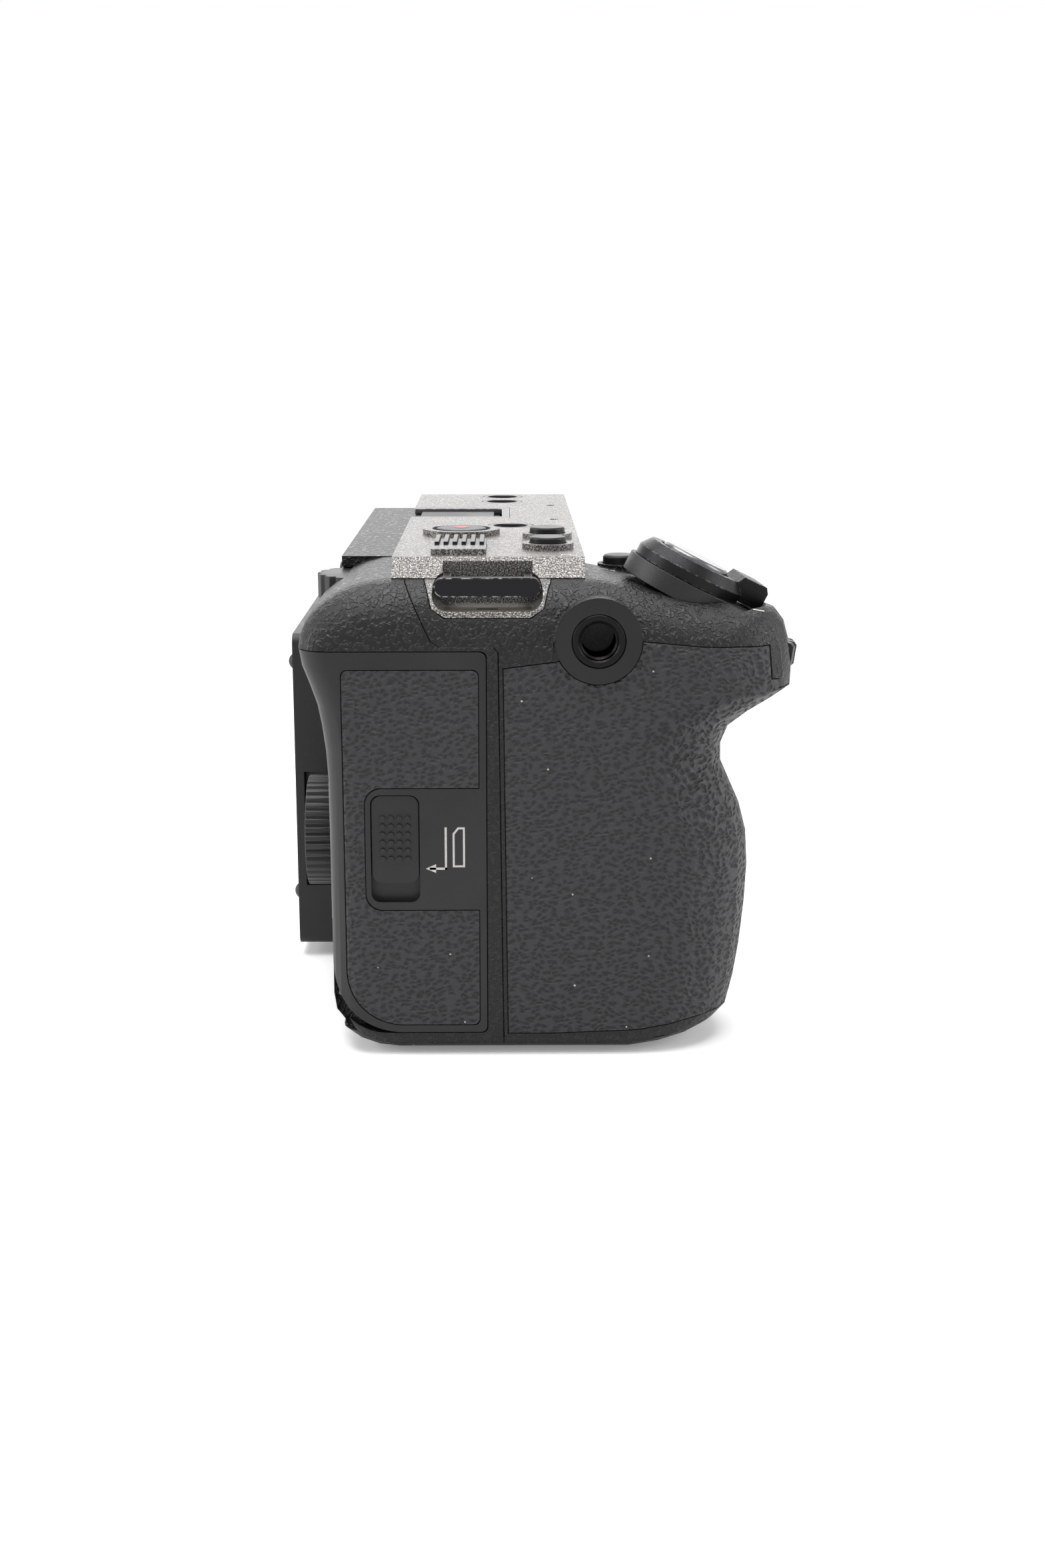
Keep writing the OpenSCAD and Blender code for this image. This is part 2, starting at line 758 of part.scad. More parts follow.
// Body shells between the grip and the ports
module plan(t) {
    intersection() {
        rr([-2 * grip_side, -front_y + t], [port_side - t, back_y - t], corner_r - t);
        rect([-grip_root, -far_y], [port_side, far_y]);
    }
}
top_round = 5;
module elevation(t) {
    intersection() {
        rr([-2 * grip_side, base_t + 0 * t], [port_side - t, deck_z + top_round], top_round - t);
        polygon([[-grip_root, base_t], [port_side - t, base_t], [port_side - t, deck_z - top_round + t],
            [port_side - top_round + t, deck_z - t], [-grip_root, deck_z - t]]);
    }
}
base_t = 1.6;
split_y = 8;
module body_form(t) {
    intersection() {
        slab_z(base_t, deck_z - t) plan(t);
        slab_y(-far_y, far_y) elevation(t);
    }
}
release_x = 30.5;
release_z = 18;
release_r = 4;
release_travel = 2;
mount_seat = 1.2;
mount_lip = 1.2;
module front_cover() {
    color(black) difference() {
        union() {
            intersection() {
                difference() {
                    body_form(0);
                    body_form(wall);
                }
                block([-grip_root, -far_y, 0], [port_side + over, -split_y, body_h]);
            }
            rod_y(-front_y - mount_seat, -front_y + wall, 0, lens_z, mount_r + mount_lip);
            rod_y(-front_y - mount_seat, -front_y + wall, -release_x, release_z, release_r + mount_lip);
        }
        rod_y(-front_y - mount_seat - over, -front_y + wall + over, 0, lens_z, mount_r + seam);
        rod_y(-front_y - mount_seat - over, -front_y + wall + over, -release_x, release_z,
            release_r + fit);
        side_thread_cut();
        port_tab_space();
        shoe_space();
        deck_bores();
    }
}
port_thread_y = 14.6;
port_thread_z = 60;
module side_thread_cut() {
    rod_x(port_side - insert_len - over, port_side + over, -port_thread_y, port_thread_z, insert_r + fit);
}
module side_thread_left() {
    color(steel) translate([port_side + insert_proud, -port_thread_y, port_thread_z])
        rotate([0, 90, 0]) insert(insert_len);
}

// Rear controls: [x, z, radius, proud]
wheel_x = 48;
wheel_z = 29.2;
wheel_r = 9.3;
wheel_proud = 5.7;
wheel_seat = 1.2;
wheel_hub_r = 4.2;
stick_x = 38;
stick_z = 52;
stick_r = 3.2;
stick_proud = 3.4;
small_r = 2.6;
small_proud = 1.6;
af_place = [-52, 55];
function_place = [-37, 42.6];
playback_place = [-37, 12.5];
menu_place = [-12, 67.5];
display_place = [12, 67.5];
upper_r = 3.2;
upper_proud = 2.6;
rear_dial_x = 45;
rear_dial_y = 11.6;
rear_dial_r = 8.2;
rear_dial_z = 68.6;
rear_dial_h = 4.1;
rear_dial_teeth = 18;
bed_t = 1.9;
port_low = 12;
port_top = 56;
port_front = 6;
port_back = 10;
port_depth = 7;
door_plate = 1.6;
grille_front = 11.2;
grille_back = 14.4;
button_sink = 2;

module rear_cover() {
    color(black) difference() {
        union() {
            intersection() {
                grip_form();
                slab_x(-grip_side - over, -loft_back) behind_seam();
                union() {
                    block([-grip_side - over, -far_y, 0], [-grip_root, far_y, body_h]);
                    block([-grip_root - over, -split_y + seam, base_t], [-loft_back, far_y, body_h]);
                }
            }
            intersection() {
                difference() {
                    body_form(0);
                    body_form(wall);
                }
                block([-loft_back, -split_y + seam, 0], [port_side + over, far_y, body_h]);
            }
            // Thumb rest beside the monitor, bed behind it, seat of the wheel
            slab_x(-loft_back - over, -monitor_free - gap) polygon(concat(
                [for (s = tail_level_shares) if (s > 0.6) [tail_y(s * shoulder_z), s * shoulder_z]],
                [[back_y - over, 0.6 * shoulder_z], [back_y - over, deck_z - 4],
                    [crest_back - 1.5, shoulder_z + 3], [crest_back, shoulder_z]]));
            block([-monitor_free, back_y - over, monitor_low], [arm_in - 1.1, back_y + bed_t, monitor_top]);
            for (z = [arm_low - bracket_h, arm_top]) {
                block([hinge_x - hinge_r, back_y - over, z], [hinge_x + hinge_r, hinge_y, z + bracket_h]);
                rod_z(z, z + bracket_h, hinge_x, hinge_y, hinge_r);
            }
            rod_y(back_y - over, back_y + wheel_seat, -wheel_x, wheel_z, wheel_r + 1.3);
            rod_z(rear_dial_z - over, rear_dial_z - gap, -rear_dial_x, rear_dial_y, rear_dial_r - 1);
        }
        slab_z(-over, battery_top + bay_head) battery_plan(gap);
        slots_space(gap);
        battery_door_space();
        deck_space(seam);
        port_tab_space();
        shoe_space();
        deck_bores();
        difference() {
            door_zone(0);
            grip_form(door_t + gap);
        }
        rod_z(door_low, shoulder_z, -door_hinge_x, door_hinge_y, swing_r);
        rod_z(scoop_z, shoulder_z, -door_hinge_x, door_hinge_y, scoop_r);
        block([-grip_side - over, -slots_front - gap, slots_low - gap],
            [-slots_mouth, slots_back, shoulder_z - door_low]);
        // Hidden room round the rear dial, the controls and the front of the body
        rod_z(rear_dial_z - gap, rear_dial_z + rear_dial_h + gap, -rear_dial_x, rear_dial_y,
            rear_dial_r + gap);
        rod_y(back_y - button_sink, monitor_y, -wheel_x, wheel_z, wheel_hub_r + seam);
        rod_y(back_y - button_sink, monitor_y, -stick_x, stick_z, stick_r + gap);
        for (p = [af_place, function_place, playback_place]) {
            rod_y(back_y - button_sink, monitor_y, p[0], p[1], small_r + seam);
        }
        for (p = [menu_place, display_place]) {
            rod_y(back_y - wall - over, monitor_y, p[0], p[1], upper_r + seam);
        }
        block([port_side - port_depth, -port_front - gap, port_low], [port_side + over, port_back, port_top]);
        block([port_side - wall - over, grille_front, port_low], [port_side + over, grille_back, port_top]);
    }
}

// Rear pieces
button_base = back_y - button_sink + press + seam;
module rear_puck(x, z, r, proud) {
    translate([x, button_base, z]) rotate([-90, 0, 0])
        puck(r, back_y + proud - button_base, r / 6);
}
module rear_dial() {
    color(satin) translate([-rear_dial_x, rear_dial_y, rear_dial_z]) linear_extrude(rear_dial_h)
        notched(rear_dial_r, dial_notch, rear_dial_teeth);
}
wheel_teeth = 40;
module control_wheel() {
    color(satin) difference() {
        slab_y(back_y + wheel_seat + gap / 2, back_y + wheel_proud) translate([-wheel_x, wheel_z])
            notched(wheel_r, dial_notch / 2, wheel_teeth);
        rod_y(back_y - over, monitor_y, -wheel_x, wheel_z, wheel_hub_r + seam);
    }
}
module wheel_button() {
    color(satin) rear_puck(-wheel_x, wheel_z, wheel_hub_r, wheel_proud - wheel_seat / 2);
}
module joystick() {
    color(satin) {
        translate([-stick_x, back_y - button_sink + gap, stick_z]) rotate([-90, 0, 0])
            cylinder(h = button_sink + stick_proud / 2 - gap, r = stick_r / 2);
        translate([-stick_x, back_y + stick_proud / 2, stick_z]) rotate([-90, 0, 0])
            puck(stick_r, stick_proud / 2, stick_r / 6);
    }
}
module af_button() {
    color(satin) rear_puck(af_place[0], af_place[1], small_r, small_proud);
}
module function_button() {
    color(satin) rear_puck(function_place[0], function_place[1], small_r, small_proud);
}
module playback_button() {
    color(satin) rear_puck(playback_place[0], playback_place[1], small_r, small_proud);
}
module upper_button(p) {
    translate([p[0], back_y - wall, p[1]]) rotate([-90, 0, 0])
        puck(upper_r, wall + upper_proud, upper_r / 6);
}
module menu_button() {
    color(satin) upper_button(menu_place);
}
module display_button() {
    color(satin) upper_button(display_place);
}

// Deck and what stands on it
deck_t = 1.8;
record_place = [-33.5, -3.9];
record_r = 4.3;
record_collar_r = 6.6;
collar_h = 1;
cap_h = 1;
cap_base = deck_z + press + seam;
near_place = [-55.5, -18.3];
far_place = [-40.5, -18.5];
deck_cap_r = 2.95;
deck_collar_r = 4.15;
zoom_far = 48;
zoom_near = 59;
guard_near = 64.8;
zoom_mid = 4.1;
zoom_w = 8.6;
zoom_h = 1.5;
zoom_ribs = 6;
zoom_stem = 3;
zoom_travel = 1.3;
shoe_x = 5.1;
shoe_w = 21;
shoe_front = 12.3;
shoe_depth = 4;
thread_deep = 4;
thread_places = [[-19, -12.4], [28.7, -10.8], [39.5, -10.9]];
mic_places = [[19.8, -20.4], [-8.2, -20.4]];
module shoe_space() {
    block([shoe_x - shoe_w / 2, -shoe_front, body_h - shoe_depth - seam],
        [shoe_x + shoe_w / 2, deck_back + over, body_h + over]);
}
module deck_bores() {
    for (p = thread_places) {
        rod_z(deck_z - thread_deep, body_h + over, p[0], p[1], insert_r + fit);
    }
}
module deck_profile(t) {
    polygon([[-deck_end - deck_rise + 2 * t, deck_z], [-deck_end + t / 2, body_h - t],
        [deck_port_end - t / 2, body_h - t], [deck_port_end + deck_rise - 2 * t, deck_z]]);
}
module top_deck() {
    color(grey) difference() {
        union() {
            slab_y(-deck_front, deck_back) deck_profile(0);
            intersection() {
                grip_form();
                slab_x(-grip_side - over, -tab_root) lug_tab(0);
            }
            intersection() {
                slab_y(-far_y, far_y) elevation(0);
                slab_x(port_tab_root, port_side - fit) lug_tab(0);
            }
            for (p = [near_place, far_place]) {
                rod_z(deck_z, body_h + collar_h, p[0], p[1], deck_collar_r);
            }
            rod_z(deck_z, body_h + collar_h, record_place[0], record_place[1], record_collar_r);
            block([-guard_near, -zoom_mid - zoom_w / 2, deck_z],
                [-zoom_near - gap, -zoom_mid + zoom_w / 2, body_h + collar_h]);
        }
        slab_y(-deck_front + deck_t, deck_back - deck_t) intersection() {
            deck_profile(deck_t);
            rect([-deck_end + deck_t, 0], [deck_port_end, body_h]);
        }
        for (p = [near_place, far_place]) {
            rod_z(deck_z - over, body_h + 2 * collar_h, p[0], p[1], deck_cap_r + seam);
        }
        rod_z(deck_z - over, body_h + 2 * collar_h, record_place[0], record_place[1], record_r + seam);
        deck_bores();
        for (p = mic_places) {
            rod_z(deck_z - over, body_h + over, p[0], p[1], thread_r / 3);
        }
        shoe_space();
        block([-zoom_near + zoom_stem - gap, -zoom_mid - zoom_stem / 2 - zoom_travel - gap, deck_z - over],
            [-zoom_far - zoom_stem + gap, -zoom_mid + zoom_stem / 2 + zoom_travel + gap, body_h + over]);
        slab_x(-grip_side - over, -lug_back) recess_plan();
        slab_x(port_lug_back, port_side + over) recess_plan();
        rod_z(deck_z - over, body_h + over, -head_button_x, -head_button_y, head_collar_r + seam);
    }
}
module record_button() {
    color(steel) translate([record_place[0], record_place[1], cap_base])
        puck(record_r, body_h + collar_h + seam - cap_base, record_r / 12);
}
module deck_button(p) {
    translate([p[0], p[1], cap_base]) puck(deck_cap_r, body_h + collar_h + cap_h - cap_base, deck_cap_r / 8);
}
module deck_button_near() {
    color(satin) deck_button(near_place);
}
module deck_button_far() {
    color(satin) deck_button(far_place);
}
module zoom_lever() {
    color(satin) {
        block([-zoom_near + gap, -zoom_mid - zoom_w / 2, body_h + seam],
            [-zoom_far, -zoom_mid + zoom_w / 2, body_h + zoom_h / 2]);
        block([-zoom_near + zoom_stem, -zoom_mid - zoom_stem / 2, deck_z + gap],
            [-zoom_far - zoom_stem, -zoom_mid + zoom_stem / 2, body_h + zoom_h / 2]);
        for (i = [0 : zoom_ribs - 1]) {
            y = -zoom_mid + (i - (zoom_ribs - 1) / 2) * zoom_w / zoom_ribs;
            block([-zoom_near + gap, y - zoom_w / zoom_ribs / 4, body_h + zoom_h / 3],
                [-zoom_far, y + zoom_w / zoom_ribs / 4, body_h + zoom_h]);
        }
    }
}
module deck_threads() {
    color(steel) for (p = thread_places) {
        translate([p[0], p[1], body_h]) insert(deck_rise + thread_deep);
    }
}
shoe_rail = 1.5;
shoe_lip = 1.3;
shoe_t = 1;
module shoe_rails() {
    color(satin) difference() {
        block([shoe_x - shoe_w / 2 + fit, -shoe_front + fit, body_h - shoe_depth],
            [shoe_x + shoe_w / 2 - fit, deck_back, body_h]);
        block([shoe_x - shoe_w / 2 + shoe_rail, -shoe_front + shoe_rail, body_h - shoe_depth + shoe_t],
            [shoe_x + shoe_w / 2 - shoe_rail, deck_back + over, body_h - shoe_t]);
        block([shoe_x - shoe_w / 2 + shoe_rail + shoe_lip, -shoe_front + shoe_rail, body_h - 2 * shoe_t],
            [shoe_x + shoe_w / 2 - shoe_rail - shoe_lip, deck_back + over, body_h + over]);
    }
}
module shoe_cover() {
    color(satin) {
        block([shoe_x - shoe_w / 2 + shoe_rail + gap / 2, -shoe_front + shoe_rail + gap,
                body_h - shoe_depth + shoe_t + gap / 2],
            [shoe_x + shoe_w / 2 - shoe_rail - gap / 2, deck_back, body_h - shoe_t - gap / 2]);
        block([shoe_x - shoe_w / 2 + shoe_rail + shoe_lip + gap / 2, -shoe_front + 2 * shoe_rail,
                body_h - 2 * shoe_t],
            [shoe_x + shoe_w / 2 - shoe_rail - shoe_lip - gap / 2, deck_back - shoe_rail,
                body_h - shoe_t / 2]);
    }
}

// Base plate with the tripod socket
socket_r = 6.2;
socket_len = 8;
module base_plate() {
    color(black) difference() {
        slab_z(0, base_t) difference() {
            plan(0);
            circle(socket_r + fit);
        }
        battery_door_space();
    }
}
module tripod_socket() {
    color(steel) difference() {
        rod_z(0, socket_len, 0, 0, socket_r);
        rod_z(-over, socket_len - wall, 0, 0, thread_r);
    }
}

// Monitor on its swivel arm at the port side
arm_w = 6.4;
arm_low = 18;
arm_top = 44;
hinge_x = 47.6;
hinge_y = 21.6;
hinge_r = 2.6;
bracket_h = 3;
bracket_swing = 3.9;
monitor_port = 50.4;
notch_low = 13.4;
notch_top = 34.6;
notch_in = 2.6;
bumper_r = 1.6;
monitor_front_y = monitor_y - monitor_t;
arm_in = hinge_x - arm_w + hinge_r;
module monitor_arm() {
    color(satin) {
        block([arm_in + gap, monitor_front_y + gap, arm_low + gap],
            [hinge_x, monitor_y - wall, arm_top - gap]);
        rod_z(arm_low + gap, arm_top - gap, hinge_x, hinge_y, hinge_r);
    }
}
module monitor_shell() {
    color(satin) difference() {
        union() {
            slab_y(monitor_front_y, monitor_y)
                rr([-monitor_free, monitor_low], [monitor_port, monitor_top], 2 * over);
            for (z = [monitor_low + 10, monitor_top - 5]) {
                translate([-monitor_free + bumper_r, monitor_y - bumper_r / 2, z]) sphere(bumper_r);
            }
        }
        block([arm_in, monitor_front_y - over, arm_low], [port_side + over, monitor_y + over, arm_top]);
        block([hinge_x - bracket_swing, monitor_front_y - over, arm_low - bracket_h - gap],
            [port_side + over, monitor_y + over, arm_top + bracket_h + gap]);
        slab_y(monitor_y - wall, monitor_y + 2 * over)
            rr([-monitor_free + 3, monitor_low + 5], [arm_in - 2, monitor_top - 4], over);
        block([-monitor_free - over, monitor_front_y - over, notch_low],
            [-monitor_free + notch_in, monitor_y - wall, notch_top]);
    }
}
module monitor_glass() {
    color([0.05, 0.05, 0.06]) slab_y(monitor_y - wall, monitor_y - wall / 3)
        rr([-monitor_free + 3 + seam, monitor_low + 5 + seam],
            [arm_in - 2 - seam, monitor_top - 4 - seam], over);
}

// Port doors and the socket panel behind them
door_splits = [port_low, 27, 42, port_top];
port_hinge = 1;
module port_door(low, high) {
    difference() {
        union() {
            block([port_side - door_plate, -port_front + port_hinge, low + gap / 2],
                [port_side, port_back - seam, high - gap / 2]);
            rod_z(low + gap / 2, high - gap / 2, port_side - port_hinge,
                -port_front + port_hinge + seam, port_hinge - fit);
        }
    }
}
module mic_door() {
    color(rubber) port_door(door_splits[2], door_splits[3]);
}
module hdmi_door() {
    color(rubber) port_door(door_splits[1], door_splits[2]);
}
module usb_door() {
    color(rubber) port_door(door_splits[0], door_splits[1]);
}
socket_depth = 3;
jack_places = [0.6, 6];
jack_z = 49;
jack_r = 1.75;
video_low = [0.5, 28.5];
video_high = [6, 40.5];
data_low = [1.6, 14.5];
data_high = [4.8, 24];
module port_panel() {
    socket_x = port_side - door_plate - gap - socket_depth;
    color(satin) difference() {
        block([port_side - port_depth, -port_front + 2 * port_hinge + gap, port_low + fit],
            [port_side - door_plate - gap, port_back - fit, port_top - fit]);
        for (y = jack_places) {
            rod_x(socket_x, port_side, y, jack_z, jack_r);
        }
        block([socket_x, video_low[0], video_low[1]], [port_side, video_high[0], video_high[1]]);
        block([socket_x, data_low[0], data_low[1]], [port_side, data_high[0], data_high[1]]);
    }
}
slat_count = 12;
module outlet_grille() {
    pitch = (port_top - port_low) / slat_count;
    color(satin) difference() {
        block([port_side - wall, grille_front + fit, port_low + fit],
            [port_side, grille_back - fit, port_top - fit]);
        for (i = [0 : slat_count - 1]) {
            block([port_side - wall - over, grille_front + 0.6, port_low + (i + 0.3) * pitch],
                [port_side + over, grille_back - 0.6, port_low + (i + 0.7) * pitch]);
        }
    }
}

// Lens mount
mount_y = front_y + mount_rise;
tab_r = throat_r + 1.25;
screw_circle = mount_r - 2.6;
screw_angle = 45;
screw_r = 1.7;
screw_head = 1;
lock_angle = 205;
lock_pin_r = 1;
lock_rise = 0.8;
module mount_bayonet() {
    color(steel) difference() {
        union() {
            rod_y(-mount_y, -front_y + wall, 0, lens_z, mount_r);
        }
        rod_y(-mount_y - over, -front_y + wall + over, 0, lens_z, throat_r);
        slab_y(-front_y, -front_y + wall + over) translate([0, lens_z]) circle(tab_r);
        for (a = [0 : 90 : 270]) {
            screw_place(a + screw_angle)
                rod_y(-mount_y - over, -front_y + wall + over, 0, 0, screw_r / 2 + fit);
            screw_place(a + screw_angle) rod_y(-mount_y - over, -mount_y + screw_head, 0, 0, screw_r + fit);
        }
        screw_place(lock_angle) rod_y(-mount_y - over, -front_y + wall + over, 0, 0, lock_pin_r + fit);
    }
}
module screw_place(a) {
    translate([screw_circle * cos(a), 0, lens_z + screw_circle * sin(a)]) children();
}
module mount_screws() {
    color(steel) for (a = [0 : 90 : 270]) {
        screw_place(a + screw_angle) {
            rod_y(-mount_y + gap / 2, -mount_y + screw_head, 0, 0, screw_r);
            rod_y(-mount_y + screw_head - fit, -front_y + wall, 0, 0, screw_r / 2);
        }
    }
}
contact_r = 19.5;
frame_t = 2;
box_depth = 9;
box_front = -front_y + wall + fit + frame_t;
box_back = box_front + box_depth;
contact_t = 3;
contact_half = 12;
module mount_contacts() {
    color(satin) intersection() {
        difference() {
            rod_y(box_front - contact_t, box_front, 0, lens_z, throat_r - gap);
            rod_y(box_front - contact_t - over, box_front + over, 0, lens_z, contact_r);
        }
        block([-contact_half, -far_y, 0], [contact_half, far_y, lens_z - contact_half]);
    }
}
module lens_release_button() {
    color(satin) translate([-release_x, -front_y + wall, release_z]) rotate([90, 0, 0])
        puck(release_r, wall + mount_seat + 2, release_r / 8);
}
module lens_lock_pin() {
    color(steel) screw_place(lock_angle) rod_y(-mount_y - lock_rise, -front_y + wall, 0, 0, lock_pin_r);
}
// Light box behind the mount, sensor and the frame that carries them
window_w = 38;
window_h = 28;
box_rim = 6;
sensor_t = 4;
module mount_window(rim, r) {
    translate([0, lens_z]) rr([-window_w / 2 - rim, -window_h / 2 - rim],
        [window_w / 2 + rim, window_h / 2 + rim], r);
}
module light_box() {
    color(satin) difference() {
        slab_y(box_front, box_back) mount_window(box_rim, box_rim / 2);
        slab_y(box_front - over, box_back + over) mount_window(0, box_rim / 2);
    }
}
module sensor_module() {
    color([0.12, 0.14, 0.18]) slab_y(box_back, box_back + sensor_t) mount_window(box_rim / 2, box_rim / 2);
}
module chassis() {
    color(steel) difference() {
        block([-grip_root + wall + gap, -front_y + wall + fit, base_t],
            [port_side - port_depth - gap, box_front, deck_z - lug_tab_h - 2 * wall]);
        rod_y(-far_y, far_y, 0, lens_z, mount_r - 2 * over);
        rod_y(-far_y, far_y, -release_x, release_z, release_r + gap);
        screw_place(lock_angle) rod_y(-far_y, far_y, 0, 0, lock_pin_r + gap);
        rod_x(port_side - insert_len - gap, port_side, -port_thread_y, port_thread_z, insert_r + gap);
    }
}
board_t = 1.4;
board_y = box_back + sensor_t + gap;
board_low = socket_len + gap;
board_top = deck_z - deck_rise - 2 * thread_deep;
board_end = 32;
module main_board() {
    color([0.1, 0.3, 0.2]) block([-board_end, board_y, board_low],
        [board_end + 8 * over, board_y + board_t, board_top]);
}
sink_fins = 9;
fin_w = 2.4;
fin_depth = 8;
module heat_sink() {
    pitch = 2 * board_end / sink_fins;
    color(steel) difference() {
        block([-board_end, board_y + board_t, board_low],
            [board_end, back_y - wall - gap, board_top - thread_deep]);
        for (i = [0 : sink_fins - 1]) {
            x = -board_end + (i + 0.5) * pitch;
            block([x - fin_w, back_y - wall - gap - fin_depth, board_low - over],
                [x + fin_w, back_y, board_top]);
        }
    }
}

front_cover();
rear_cover();
top_deck();
base_plate();
chassis();
grip_shell();
grip_leather();
card_door();
card_door_leather();
card_door_latch();
card_door_pin();
card_slots();
battery_door();
battery_door_latch();
battery_door_pin();
battery_pack();
strap_lug_right();
strap_lug_left();
side_thread_right();
side_thread_left();
deck_threads();
tripod_socket();
turret();
power_lever();
shutter_button();
grip_button();
front_dial();
front_dial_pin();
record_button();
zoom_lever();
deck_button_near();
deck_button_far();
shoe_rails();
shoe_cover();
rear_dial();
control_wheel();
wheel_button();
joystick();
af_button();
function_button();
playback_button();
menu_button();
display_button();
monitor_arm();
monitor_shell();
monitor_glass();
mic_door();
hdmi_door();
usb_door();
port_panel();
outlet_grille();
mount_bayonet();
mount_screws();
mount_contacts();
lens_release_button();
lens_lock_pin();
light_box();
sensor_module();
main_board();
heat_sink();
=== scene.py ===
import json
from math import atan2, cos, pi, radians, sin

import bmesh
import bpy
from mathutils import Matrix, Vector
from mathutils.bvhtree import BVHTree


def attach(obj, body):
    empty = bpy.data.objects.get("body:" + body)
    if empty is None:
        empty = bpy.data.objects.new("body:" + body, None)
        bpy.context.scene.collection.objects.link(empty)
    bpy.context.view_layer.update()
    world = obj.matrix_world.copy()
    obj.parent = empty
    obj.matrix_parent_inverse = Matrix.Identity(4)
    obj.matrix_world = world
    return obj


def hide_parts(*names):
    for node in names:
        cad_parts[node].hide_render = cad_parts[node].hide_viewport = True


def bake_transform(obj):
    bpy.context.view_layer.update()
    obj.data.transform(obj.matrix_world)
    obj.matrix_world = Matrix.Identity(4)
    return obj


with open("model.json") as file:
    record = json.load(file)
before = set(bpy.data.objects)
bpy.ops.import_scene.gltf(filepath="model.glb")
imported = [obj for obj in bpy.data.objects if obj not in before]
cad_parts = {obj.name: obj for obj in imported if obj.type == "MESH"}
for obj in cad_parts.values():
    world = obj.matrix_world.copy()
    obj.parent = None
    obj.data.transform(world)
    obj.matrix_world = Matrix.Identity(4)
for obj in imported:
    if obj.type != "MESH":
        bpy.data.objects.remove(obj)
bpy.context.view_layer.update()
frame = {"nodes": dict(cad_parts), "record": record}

# Camera: a normal lens level with the grip side of the body and a little above it,
# as a product photographer sets it on a table stand.
lens_mm = 44.65
film_mm = 36
camera_place = (-0.369, -0.0115, 0.1135)
camera_turn = (radians(76.6), 0, radians(-90.497))
photo_camera = bpy.data.cameras.new("photo_camera")
photo_camera.lens = lens_mm
photo_camera.sensor_width = film_mm
photo_camera.clip_start = 0.01
tripod = bpy.data.objects.new("photo_camera", photo_camera)
tripod.location = camera_place
tripod.rotation_euler = camera_turn
bpy.context.scene.collection.objects.link(tripod)
bpy.context.scene.camera = tripod


# Studio: a seamless white paper sweep, soft boxes overhead, behind and at both sides, pale walls.
# The paper is white to the eye and in reflections, and keeps the soft shadow under the body.
def linear(code):
    """An sRGB hex colour as linear red, green, blue and alpha."""
    shares = [int(code[i:i + 2], 16) / 255 for i in (0, 2, 4)]
    return [s / 12.92 if s <= 0.04045 else ((s + 0.055) / 1.055) ** 2.4 for s in shares] + [1]


def add(tree, kind, inputs=None, **settings):
    """A shader node with its settings, and its inputs set or linked."""
    made = tree.nodes.new("ShaderNode" + kind)
    for name, value in settings.items():
        setattr(made, name, value)
    for name, value in (inputs or {}).items():
        if isinstance(value, bpy.types.NodeSocket):
            tree.links.new(value, made.inputs[name])
        else:
            made.inputs[name].default_value = value
    return made


def surface(name):
    """A new material with an empty node tree, and that tree."""
    made = bpy.data.materials.new(name)
    made.use_nodes = True
    made.node_tree.nodes.clear()
    return made, made.node_tree


def seen_rays(tree):
    """One on rays from the camera, reflections and rays through glass, and nought on the rest."""
    rays = add(tree, "LightPath")
    seen = add(tree, "Math", {0: rays.outputs["Is Camera Ray"], 1: rays.outputs["Is Glossy Ray"]},
               operation="MAXIMUM")
    seen = add(tree, "Math", {0: seen.outputs[0], 1: rays.outputs["Is Transmission Ray"]},
               operation="MAXIMUM")
    return seen.outputs[0]


paper_half = 3.0
paper_gap = 0.0002
shadow_core = 0.12
shadow_reach = 0.55
paper_lift = 0.2
paper, tree = surface("white_paper_sweep")
# Matt white card: it holds a soft shadow near the body and burns out to plain white past it.
spot = add(tree, "NewGeometry")
far_off = add(tree, "VectorMath", {0: spot.outputs["Position"]}, operation="LENGTH")
fade = add(tree, "MapRange", {0: far_off.outputs["Value"], 1: shadow_core, 2: shadow_reach})
matt = add(tree, "BsdfDiffuse", {"Color": linear("F7F7F7")})
glow = add(tree, "Emission", {"Color": (1, 1, 1, 1), "Strength": 1.0})
lift = add(tree, "Emission", {"Color": (1, 1, 1, 1), "Strength": paper_lift})
near = add(tree, "AddShader", {0: matt.outputs[0], 1: lift.outputs[0]})
sweep = add(tree, "MixShader", {0: fade.outputs[0], 1: near.outputs[0], 2: glow.outputs[0]})
both = add(tree, "MixShader", {0: seen_rays(tree), 1: matt.outputs[0], 2: sweep.outputs[0]})
add(tree, "OutputMaterial", {"Surface": both.outputs[0]})
form = bmesh.new()
bmesh.ops.create_grid(form, x_segments=1, y_segments=1, size=paper_half,
                      matrix=Matrix.Translation((0, 0, -paper_gap)))
sheet = bpy.data.meshes.new("paper_sweep")
form.to_mesh(sheet)
form.free()
sheet.materials.append(paper)
floor = bpy.data.objects.new("paper_sweep", sheet)
bpy.context.scene.collection.objects.link(floor)

room_light = 0.36
room = bpy.data.worlds.new("pale_studio")
bpy.context.scene.world = room
room.use_nodes = True
tree = room.node_tree
tree.nodes.clear()
dim = add(tree, "Background", {"Color": (1, 1, 1, 1), "Strength": room_light})
white = add(tree, "Background", {"Color": (1, 1, 1, 1), "Strength": 1.0})
both = add(tree, "MixShader", {0: seen_rays(tree), 1: dim.outputs[0], 2: white.outputs[0]})
add(tree, "OutputWorld", {"Surface": both.outputs[0]})
bpy.context.scene.view_settings.view_transform = "Standard"

